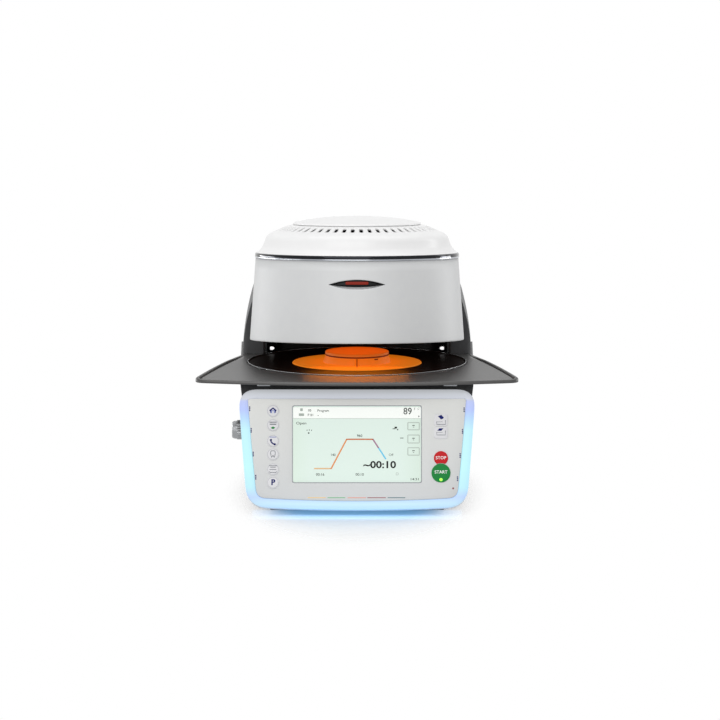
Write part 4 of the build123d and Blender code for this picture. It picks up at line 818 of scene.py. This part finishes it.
def makePanel():
    # Rings between outlines for the lit band, the face plate and the screen's dark rim, which is painted shade;
    # slabs for housing and glass.
    s, up = panelSize, np.array([0, screenSize["centre"]])
    ring, faces = frameRing(panelOutline(0), panelOutline(s["band"], s["plateCorner"]), -s["ringDeep"], 0.0,
                            edge=2.2, steps=6, dish=0.4)
    addPiece("lightBand", onPanel(ring), faces, "opalDiffuser", "base", ["light_ring"])
    back, faces = slab(panelOutline(0.8), -s["housingDeep"], -s["ringDeep"] - 0.2, edge=3.0, steps=6)
    addPiece("panelBack", onPanel(back), faces, "housingWhite", "base", ["panel_housing"])
    # the plate's outlines start at the same bearing from the screen's centre
    outer, hole = panelOutline(s["band"] + 0.15, s["plateCorner"]), screenOutline(0.6, 2.0, 400) + up
    bearing, bearingHole = (np.arctan2(*(outline - up).T[::-1]) for outline in (outer, hole))
    outer, order = outer[np.argsort(bearing)], np.argsort(bearingHole)
    hole = np.stack([np.interp(np.sort(bearing), bearingHole[order], hole[order, i], period=2 * pi)
                     for i in (0, 1)], -1)
    plate, faces = frameRing(outer, hole, s["plateBack"], s["plateFront"], edge=0.5)
    # the plate's darker foot and paler top are painted shade and painted light
    addPiece("facePlate", onPanel(plate), faces, "membranePaintedLight", "base", ["face_plate"])
    glass, faces = slab(screenOutline(0, 2.0, 160), -1.6, 0.0, 0.3)
    addPiece("screenPane", onPanel(glass + np.array([*up, screenSize["front"]])), faces, "backlitGlass", "base",
             ["screen_glass"])
    # a dark rim round the screen: painted shade along the edge of the recessed screen
    rim, faces = frameRing(screenOutline(1.4, 2.4, 240), screenOutline(-0.6, 1.8, 240), -0.6,
                           s["plateFront"] + 0.12, edge=0.15, steps=3)
    addPiece("screenEdgeShade", onPanel(rim + np.array([*up, 0])), faces, "steelDark", "base", ())


gridSize = {"middleU": 357.0, "footV": 509.4, "acrossPerMm": 0.815, "upPerMm": 0.808}


def px(u, v):
    # The layout grid to mm on the panel: steps right of its middle and up from its foot, over steps per mm.
    return (u - gridSize["middleU"]) / gridSize["acrossPerMm"], (gridSize["footV"] - v) / gridSize["upPerMm"]


def textMesh(name, words, size, x, h, look, depth, body="base", slot="screen_glass", bold=0.0, wide=0.0):
    # Generic figures as outlines, made a mesh, stretched to the width wide if given, and laid on the panel.
    curve = bpy.data.curves.new(name, "FONT")
    curve.body = words
    curve.size = size * mm
    curve.align_x = "CENTER"
    curve.align_y = "CENTER"
    curve.offset = bold * mm
    curve.resolution_u = 3
    text = addObject(name + "Text", curve)
    mesh = bpy.data.meshes.new_from_object(text.evaluated_get(bpy.context.evaluated_depsgraph_get()))
    bpy.data.objects.remove(text)
    flat = np.empty(len(mesh.vertices) * 3)
    mesh.vertices.foreach_get("co", flat)
    flat = flat.reshape(-1, 3) / mm
    if wide:
        flat[:, 0] *= wide / np.ptp(flat[:, 0])
    flat += np.array([x, h, depth])
    mesh.vertices.foreach_set("co", (onPanel(flat) * mm).ravel())
    mesh.update()
    piece = addObject(name, mesh)
    mesh.materials.clear()
    mesh.materials.append(mat(look))
    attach(piece, body)


screenPrint = {  # places are u and v of the layout grid, other lengths mm
    "strokes": [("screenPale", 0.4, [(293.5, 418.2), (420.5, 418.2)]),
                ("curveTan", 1.7, [(314.3, 467.9), (323.0, 467.9), (331.6, 467.9)]),
                ("curveOrange", 1.8, [(331.2, 468.3), (339.0, 453.4), (346.8, 438.8)]),
                ("curveDark", 1.8, [(346.4, 438.9), (360.0, 438.8), (373.2, 438.9)]),
                ("curvePurple", 1.8, [(372.6, 438.4), (375.6, 443.0), (378.6, 447.6)]),
                ("curveBlue", 1.9, [(378.4, 447.3), (382.0, 452.8), (385.8, 458.6)])],
    "buttonSides": (407.4, 419.2), "buttons": [(422.0, 429.6), (434.4, 442.7), (447.0, 454.8)],
    # small marks: centre, width and thickness
    "marks": {"screenGrey": [(307.4, 429.8, 0.9, 1.4), (309.6, 429.6, 0.9, 1.4), (311.8, 429.8, 0.9, 1.4),
                             (393.8, 428.4, 3.4, 0.9), (397.4, 429.2, 1.6, 1.6), (401.6, 437.6, 4.2, 0.9),
                             (318.4, 415.2, 1.6, 0.6)],
              "screenBlack": [(309.0, 432.6, 1.6, 1.8), (395.6, 427.2, 3.0, 2.2), (418.6, 416.0, 1.2, 1.8)],
              "screenPale": [(301.8, 414.4, 6.4, 3.2), (301.8, 409.4, 3.2, 3.4)]},
    "square": (397.0, 473.2), "bar": [(293.6, 418.0), (420.6, 407.0)],
    # figures: name, words, height of the type, centre, boldness and width
    "figures": [("timeLeft", "~00:10", 12.0, 379.6, 464.4, 0.33, 40.0),
                ("timeHold", "00:16", 4.6, 320.4, 473.9, 0.05, 0),
                ("timeRise", "00:10", 4.6, 359.7, 473.9, 0.05, 0),
                ("topHeat", "960", 4.4, 359.7, 435.4, 0.08, 0),
                ("lowHeat", "140", 4.2, 333.2, 454.4, 0.05, 0), ("offWord", "Off", 4.2, 390.8, 454.4, 0.0, 0),
                ("nowHeat", "89", 11.6, 407.4, 411.2, 0.12, 10.2), ("tenths", "3", 4.0, 414.2, 408.8, 0, 0),
                ("unit", "C", 3.6, 418.2, 408.6, 0, 0), ("clock", "14:31", 4.0, 414.4, 478.6, 0.05, 9.6),
                ("recipe", "05", 4.2, 310.0, 410.2, 0.05, 0),
                ("recipeStep", "P 81", 4.2, 311.0, 414.8, 0.05, 0),
                ("userWord", "Program", 4.2, 323.4, 410.4, 0.05, 14.0),
                ("openWord", "Open", 4.6, 301.6, 422.9, 0.05, 12.5)],
}


def makeScreenPrint():
    # Strokes, framed buttons and marks gathered by ink, then the pale bar at the top and the figures.
    s, depth = screenPrint, screenSize["front"] + screenSize["printGap"]
    lines = {look: [] for look in ("screenGrey", "screenPale", "curveTan", "curveOrange", "curveDark",
                                   "curvePurple", "curveBlue", "screenBlack")}
    for look, width, path in s["strokes"]:
        lines[look].append(line([px(*p) for p in path], width))
    for v0, v1 in s["buttons"]:
        (x0, h0), (x1, h1) = px(s["buttonSides"][0], v1), px(s["buttonSides"][1], v0)
        cx, ch = (x0 + x1) / 2, (h0 + h1) / 2
        for less, radius, width in ((0, 1.2, 0.55), (1.4, 0.8, 0.3)):
            outline = box2d(x1 - x0 - less, h1 - h0 - less, radius) + np.array([cx, ch])
            lines["screenPale"].append(loop(outline, width))
        lines["screenGrey"] += [line([(cx - 1.6, ch + 0.9), (cx + 1.4, ch + 0.9)], 1.0),
                                line([(cx - 1.0, ch - 1.1), (cx + 0.8, ch - 1.1)], 0.6)]
    for look, marks in s["marks"].items():
        for u, v, wide, thick in marks:
            x, h = px(u, v)
            lines[look].append(line([(x - wide / 2, h), (x + wide / 2, h)], thick))
    lines["screenPale"].append(loop(box2d(2.6, 2.6, 0.4) + np.array(px(*s["square"])), 0.5))
    (x0, h0), (x1, h1) = (px(*corner) for corner in s["bar"])
    middle = (h0 + h1) / 2
    addFlat("printBar", *ribbon(np.linspace((x0, middle), (x1, middle), 9), h1 - h0), "screenWhite",
            depth - 0.03, slot="screen_glass")
    for look, parts in lines.items():
        addFlat("print" + look[0].upper() + look[1:], *stack(parts), look, depth, slot="screen_glass")
    for name, words, size, u, v, bold, wide in s["figures"]:
        look = "screenBlack" if name == "timeLeft" else "screenGrey"
        textMesh(name + "Figures", words, size, *px(u, v), look, depth, bold=bold, wide=wide)


makePanel()
makeScreenPrint()
print("stage: panel")


keySize = {"column": 102.5, "radius": 7.5, "proud": 0.6, "crown": 0.08, "edge": 0.25, "back": -3.0,
           "printUp": 0.64, "wide": 17.0, "high": 15.0, "corner": 4.0, "stopR": 8.6, "stopUp": 64.1,
           "startR": 11.6, "startUp": 45.8, "startDrop": 18.3, "startGapR": 12.2, "wordUp": 0.66}
leftKeys = [("key_home", 122.1), ("key_program", 104.7), ("key_service", 85.3), ("key_settings", 68.8),
            ("key_list", 50.4), ("key_power_save", 33.9)]


def keyCap(name, outline, x, h, look, node):
    # The edge stays a little in front of the plate when the key is pressed right in.
    s = keySize
    flat, faces = slab(outline, s["back"], s["proud"] - s["crown"], s["edge"], crown=s["crown"])
    addPiece(name, onPanel(flat + np.array([x, h, 0])), faces, look, node, [node])


def ringPair(radius, width, count=48):
    # A thin flat ring, as two rows of points.
    edges = [disc(radius + width / 2, count), disc(radius - width / 2, count)]
    return np.concatenate(edges), gridFaces(2, count, closeCols=True)


def poly(*points):
    # A filled polygon.
    return fan(np.array(points, float))


def icons():
    # Generic pictograms in mm about each key's middle: lists of (shapes, ink), later ones on top.
    house = [([poly((-2.9, -2.8), (2.9, -2.8), (2.9, 0.8), (-2.9, 0.8))], "inkBlue"),
             ([line([(-4.0, 0.0), (0.0, 3.5), (4.0, 0.0)], 1.9), line([(-3.1, -0.4), (-3.1, -2.0)], 1.1),
               line([(3.1, -0.4), (3.1, -2.0)], 1.1)], "inkNavy"),
             ([poly((-1.1, -2.8), (1.1, -2.8), (1.1, -0.2), (-1.1, -0.2))], "keyGrey")]
    rows = [([line([(-4.4, 3.6), (4.4, 3.6)], 1.0), line([(-4.0, 0.8), (4.0, 0.8)], 1.0)], "inkGrey"),
            ([line([(-4.4, 2.2), (4.4, 2.2)], 0.6)], "inkPale"),
            ([poly((-2.9, -3.4), (0, -5.0), (2.9, -3.4), (0, -1.8))], "keyGreen")]
    phone = [([line([(-4.2, 4.6), (4.0, 4.6)], 1.0)], "inkBlue"),
             ([line(rounded([(-2.8, 1.6), (-2.4, -1.2), (0.2, -3.8), (2.8, -4.4)], 1.4, 5), 1.6),
               shift(fan(disc(1.35, 24)), -2.5, 1.0), shift(fan(disc(1.35, 24)), 2.2, -4.2)], "inkNavy")]
    vessel = [(-2.4, 4.2), (2.4, 4.2), (3.0, 1.0), (1.6, -4.2), (0.0, -1.0), (-1.6, -4.2), (-3.0, 1.0)]
    cup = [([loop(rounded(vessel, 0.9, 5, closed=True), 0.7)], "inkGrey")]
    sheet = [([line([(-4.6, 4.2), (4.6, 4.2)], 0.8), line([(-3.2, 2.4), (3.2, 2.4)], 0.7),
               line([(-4.2, -0.4), (4.2, -0.4)], 0.7),
               line([(-4.4, -2.8), (-3.6, -4.0), (3.6, -4.0), (4.4, -2.8)], 0.7)], "inkGrey")]
    return {"key_home": house, "key_program": rows, "key_service": phone, "key_settings": cup,
            "key_list": sheet}


def printOn(name, parts, look, node, x, h, up=0.0):
    # Shapes printed on a key about its middle.
    flat, faces = shift(stack(parts), x, h)
    addFlat(name, flat, faces, look, keySize["printUp"] + up, node, "key_cap")


def makeKeys():
    # Round keys at the left; two rounded ones, stop and start at the right; start's gap bites into stop.
    s, x, art = keySize, -keySize["column"], icons()
    for node, h in leftKeys:
        short = node.split("_", 1)[1].replace("_", "").capitalize()
        keyCap("cap" + short, disc(s["radius"], 96), x, h, "keyGrey", node)
        printOn("ring" + short, [ringPair(6.6, 0.5, 64)], "inkPale", node, x, h)
        for k, (parts, look) in enumerate(art.get(node, ())):
            printOn("icon%s%d" % (short, k), parts, look, node, x, h, 0.02 * k)
    textMesh("letterPowersave", "P", 9.6, 0.2 + x, leftKeys[-1][1] + 0.2, "inkNavy", s["printUp"],
             "key_power_save", "key_cap", bold=0.35)
    x = s["column"]
    for node, h, low, lid in (("key_head_open", 110.9, -5.4, ((-3.6, 4.6), (0.4, 6.4), (3.9, 2.6), (0.0, 0.6))),
                              ("key_head_close", 95.3, -2.8,
                               ((-4.6, 2.6), (-2.0, 5.4), (3.0, 5.4), (0.4, 2.2)))):
        short = node[4:].replace("_", "").capitalize()
        keyCap("cap" + short, resample(box2d(s["wide"], s["high"], s["corner"]), 96), x, h, "keyGrey", node)
        tray = [line([(-5.2, low + 3.6), (-5.2, low), (5.4, low), (5.4, low + 5.4)], 0.7),
                line([(-4.6, low + 3.2), (2.0, low + 3.2)], 0.4)]
        printOn("tray" + short, tray, "inkGrey", node, x, h)
        printOn("lid" + short, [poly(*lid)], "inkNavy", node, x, h, 0.02)
    stopOutline, below = resample(disc(s["stopR"], 240), 240), np.array([0, -s["startDrop"]])
    gap = stopOutline - below
    reach = np.linalg.norm(gap, axis=1, keepdims=True)
    stopOutline = np.where(reach < s["startGapR"], gap / reach * s["startGapR"] + below, stopOutline)
    keyCap("capStop", stopOutline, x, s["stopUp"], "keyRed", "key_stop")
    keyCap("capStart", disc(s["startR"], 128), x, s["startUp"], "keyGreen", "key_start")
    textMesh("stopWord", "STOP", 5.2, x, 64.3, "inkWhite", s["wordUp"], "key_stop", "key_red", 0.05, 12.6)
    textMesh("startWord", "START", 5.4, x, 46.8, "inkWhite", s["wordUp"], "key_start", "key_green", 0.05, 15.6)
    printOn("startLed", [fan(disc(1.9, 32))], "ledGreen", "key_start", x, 37.6, 0.04)


platePrint = {"bars": [(308, 326), (327.8, 345.3), (347.7, 366), (367.3, 385.6), (387.5, 405)], "barV": 498.2,
              "ticks": [(250.3, 408.5), (251.8, 430), (253.8, 453.5), (256.4, 476.5), (463.6, 409.5),
                        (462.0, 431), (459.6, 455), (457.0, 478)],
              "tickStep": 2.1, "tickHalf": 0.8, "dot": (452.6, 487.6)}


def makePlatePrint():
    # Short coloured bars along the foot, small navy ticks up the sides and one red dot.
    s, depth = platePrint, panelSize["plateFront"] + panelSize["printGap"]
    for k, (u0, u1) in enumerate(s["bars"]):
        ends = np.array([px(u0, s["barV"]), px(u1, s["barV"])]) + np.array([0, 1.6])
        addFlat("footBar%d" % (k + 1), *line(ends, 0.9), "markPalette%d" % (k + 1), depth)
    parts = []
    for x, h in (px(u, v) for u, v in s["ticks"]):
        for at in (h - s["tickStep"], h, h + s["tickStep"]):
            parts.append(line([(x, at - s["tickHalf"]), (x, at + s["tickHalf"])], 1.5))
    addFlat("sideTicks", *stack(parts), "inkNavy", depth)
    addFlat("redDot", *shift(fan(disc(1.2, 24)), *px(*s["dot"])), "dotRed", depth)


makeKeys()
makePlatePrint()
print("stage: keys")


collarSize = {"y": -56.0, "z": 86.0, "teeth": 26, "toothDeep": 0.6, "segments": 416,
              "rows": [(-131.0, 10.6, 0), (-131.6, 11.5, 0), (-132.6, 11.9, 1), (-146.6, 11.9, 1),
                       (-147.4, 11.2, 0), (-150.8, 10.8, 0), (-152.6, 9.9, 0), (-153.3, 8.6, 0),
                       (-153.3, 7.0, 0), (-144.0, 6.7, 0), (-131.0, 6.7, 0)]}


def makeCollar():
    # A knurled collar about a level axis: its radius dips between the teeth by the tooth depth times a cosine.
    s = collarSize
    rows, angle = np.array(s["rows"]), around(s["segments"])
    radius = rows[:, 1:2] - rows[:, 2:3] * s["toothDeep"] * (0.5 - 0.5 * np.cos(s["teeth"] * angle))
    points = np.stack([rows[:, :1] + 0 * angle, s["y"] + radius * np.cos(angle),
                       s["z"] + radius * np.sin(angle)], -1)
    addPiece("hoseCollar", points.reshape(-1, 3), gridFaces(len(rows), len(angle), True, True), "steelSatin",
             "base", ["hose_coupling"])


makeCollar()
cadLooks = {
    "steelPainted": ["base_pan", "rear_panel", "tower_back"], "absAnthracite": ["base_housing", "tower_shell"],
    "steelDark": ["display_module", "insulation_cup", "sector_gear", "gear_motor", "power_supply",
                  "service_ports"],
    "steelBright": ["tray_brackets", "hinge_shaft", "drive_pinion", "case_screws"],
    "rubberBlack": ["rubber_feet"],
    "absBlack": ["power_entry", "fan_frame", "fan_rotor"], "bezelBlack": ["power_switch"],
    "boardGreen": ["panel_boards", "main_board"], "castGrey": ["hinge_brackets", "head_neck", "vacuum_valve"],
    "acrylicBlack": ["tower_liner"], "brass": ["hinge_bushes"], "siliconeRed": ["head_seal"],
    "quartz": ["muffle"], "coilHot": ["heating_coil"], "woolWhite": ["head_insulation"],
    "probeCeramic": ["thermocouple"], "hoseSilicone": ["vacuum_hoses"],
}
for look, nodes in cadLooks.items():
    for shown in (frame["nodes"][node] for node in nodes):
        shown.data.materials.clear()
        shown.data.materials.append(mat(look))


studio = {"target": (3.7, -16.0, 167.0), "distance": 25000.0, "elevation": 7.5, "lens": 1017.4, "sensor": 36.0,
          "floorRadius": 2600.0, "depthShare": 0.34, "fadeFrom": 0.09, "fadeTo": 0.168, "skyLight": 0.52,
          "floorWhite": 0.93, "floorRoughness": 0.28, "ovalBelow": 200.0}
lampsAt = {  # place, aim, size in mm, watts, colour
    "keyFront": ((-500, -2450, 1450), (0, 0, 170), (2600, 2000), 37, (1, 1, 1)),
    "rimRight": ((1480, 620, 600), (0, 0, 220), (260, 1000), 3.6, (1, 1, 1)),
    "sideRight": ((1348, 658, 190), (0, 0, 260), (620, 90), 1.9, (1, 1, 1)),
    "sideLeft": ((-1290, 770, 190), (0, 0, 260), (980, 90), 2.8, (1, 1, 1)),
    "stripLeft": ((-1500, 0, 200), (0, 0, 270), (1500, 50), 1.8, (1, 1, 1)),
    "overhead": ((0, 200, 2200), (0, 0, 100), (2200, 1600), 12, (1, 1, 1)),
    # light that the glowing band throws on the floor, and the heat's glow on the table and the tray's front
    "bandSpill": ((0, -192, 2.0), (0, -192, 0), (256, 84), 0.036, (0.24, 0.58, 1.0)),
    "boreGlow": ((0, -22, 191), (0, -16, 170), (84, 84), 0.0015, (1.0, 0.40, 0.05)),
    "gapGlow": ((0, -62, 184), (0, -184, 166), (132, 14), 0.024, (1.0, 0.28, 0.01)),
}


def makeFloor():
    # White acrylic sheet: a faint gloss, fading out with distance so that it ends in the white behind.
    radii, angle = np.linspace(studio["floorRadius"], 0, 13)[:, None], around(96)
    points = np.stack(np.broadcast_arrays(radii * np.cos(angle), radii * np.sin(angle), 0.0), -1)
    mesh = bpy.data.meshes.new("studioFloor")
    mesh.from_pydata((points.reshape(-1, 3) * mm).tolist(), [],
                     gridFaces(*points.shape[:2], closeCols=True).tolist())
    floor = addObject("studioFloor", mesh)
    sheet, tree, shader = newMaterial("whiteSheet")
    shader.inputs["Base Color"].default_value = (*[studio["floorWhite"]] * 3, 1)
    shader.inputs["Roughness"].default_value = studio["floorRoughness"]
    coords = addNode(tree, "TexCoord").outputs["Object"]
    squeezed = addNode(tree, "Mapping", Vector=coords, Scale=(1, studio["depthShare"], 1))
    length = addNode(tree, "VectorMath", operation="LENGTH", i0=squeezed.outputs[0])
    fade = addNode(tree, "MapRange", interpolation_type="SMOOTHSTEP", Value=length.outputs["Value"],
                   From_Min=studio["fadeFrom"], From_Max=studio["fadeTo"])
    clear = addNode(tree, "BsdfTransparent")
    blend = addNode(tree, "MixShader", i0=fade.outputs[0], i1=shader.outputs[0], i2=clear.outputs[0])
    tree.links.new(blend.outputs[0], tree.nodes["Material Output"].inputs["Surface"])
    mesh.materials.append(sheet)


def makeWorld():
    # Even white seen directly and in reflections; a dimmer white as the light that falls on things.
    world = bpy.data.worlds.new("studioWhite")
    bpy.context.scene.world = world
    world.use_nodes = True
    tree = world.node_tree
    tree.nodes.clear()
    path = addNode(tree, "LightPath")
    seen = addNode(tree, "Background", Color=(1, 1, 1, 1), Strength=1.0)
    lit = addNode(tree, "Background", Color=(1, 1, 1, 1), Strength=studio["skyLight"])
    either = addNode(tree, "Math", operation="MAXIMUM", i0=path.outputs["Is Camera Ray"],
                     i1=path.outputs["Is Transmission Ray"])
    either = addNode(tree, "Math", operation="MAXIMUM", i0=either.outputs[0], i1=path.outputs["Is Glossy Ray"])
    blend = addNode(tree, "MixShader", i0=either.outputs[0], i1=lit.outputs[0], i2=seen.outputs[0])
    out = addNode(tree, "OutputWorld")
    tree.links.new(blend.outputs[0], out.inputs["Surface"])


def softbox(name, at, toward, size, watts, color):
    # Area light, oval where small, not seen directly; its local -Z is turned along the line to its target.
    light = bpy.data.lights.new(name, "AREA")
    light.shape = "ELLIPSE" if size[0] < studio["ovalBelow"] else "RECTANGLE"
    light.size, light.size_y = size[0] * mm, size[1] * mm
    light.energy = watts
    light.color = color
    lamp = addObject(name, light)
    lamp.location = Vector(at) * mm
    aim = (Vector(toward) - Vector(at)).normalized()
    lamp.rotation_euler = aim.to_track_quat("-Z", "Y").to_euler()
    lamp.visible_camera = False


def makeCamera():
    # Back along the line of sight from the target: up by sin of its elevation, forward by cos.
    e = radians(studio["elevation"])
    view = bpy.data.cameras.new("frontView")
    view.lens, view.sensor_width, view.sensor_fit = studio["lens"], studio["sensor"], "HORIZONTAL"
    view.clip_end = 100.0
    camera = addObject("frontView", view)
    back = Vector((0, -cos(e), sin(e)))
    camera.location = Vector(studio["target"]) * mm + back * studio["distance"] * mm
    camera.rotation_euler = (-back).to_track_quat("-Z", "Y").to_euler()
    bpy.context.scene.camera = camera


makeFloor()
makeWorld()
for name, settings in lampsAt.items():
    softbox(name, *settings)
makeCamera()

bpy.context.scene.view_settings.view_transform = "Standard"
print("stage: studio")
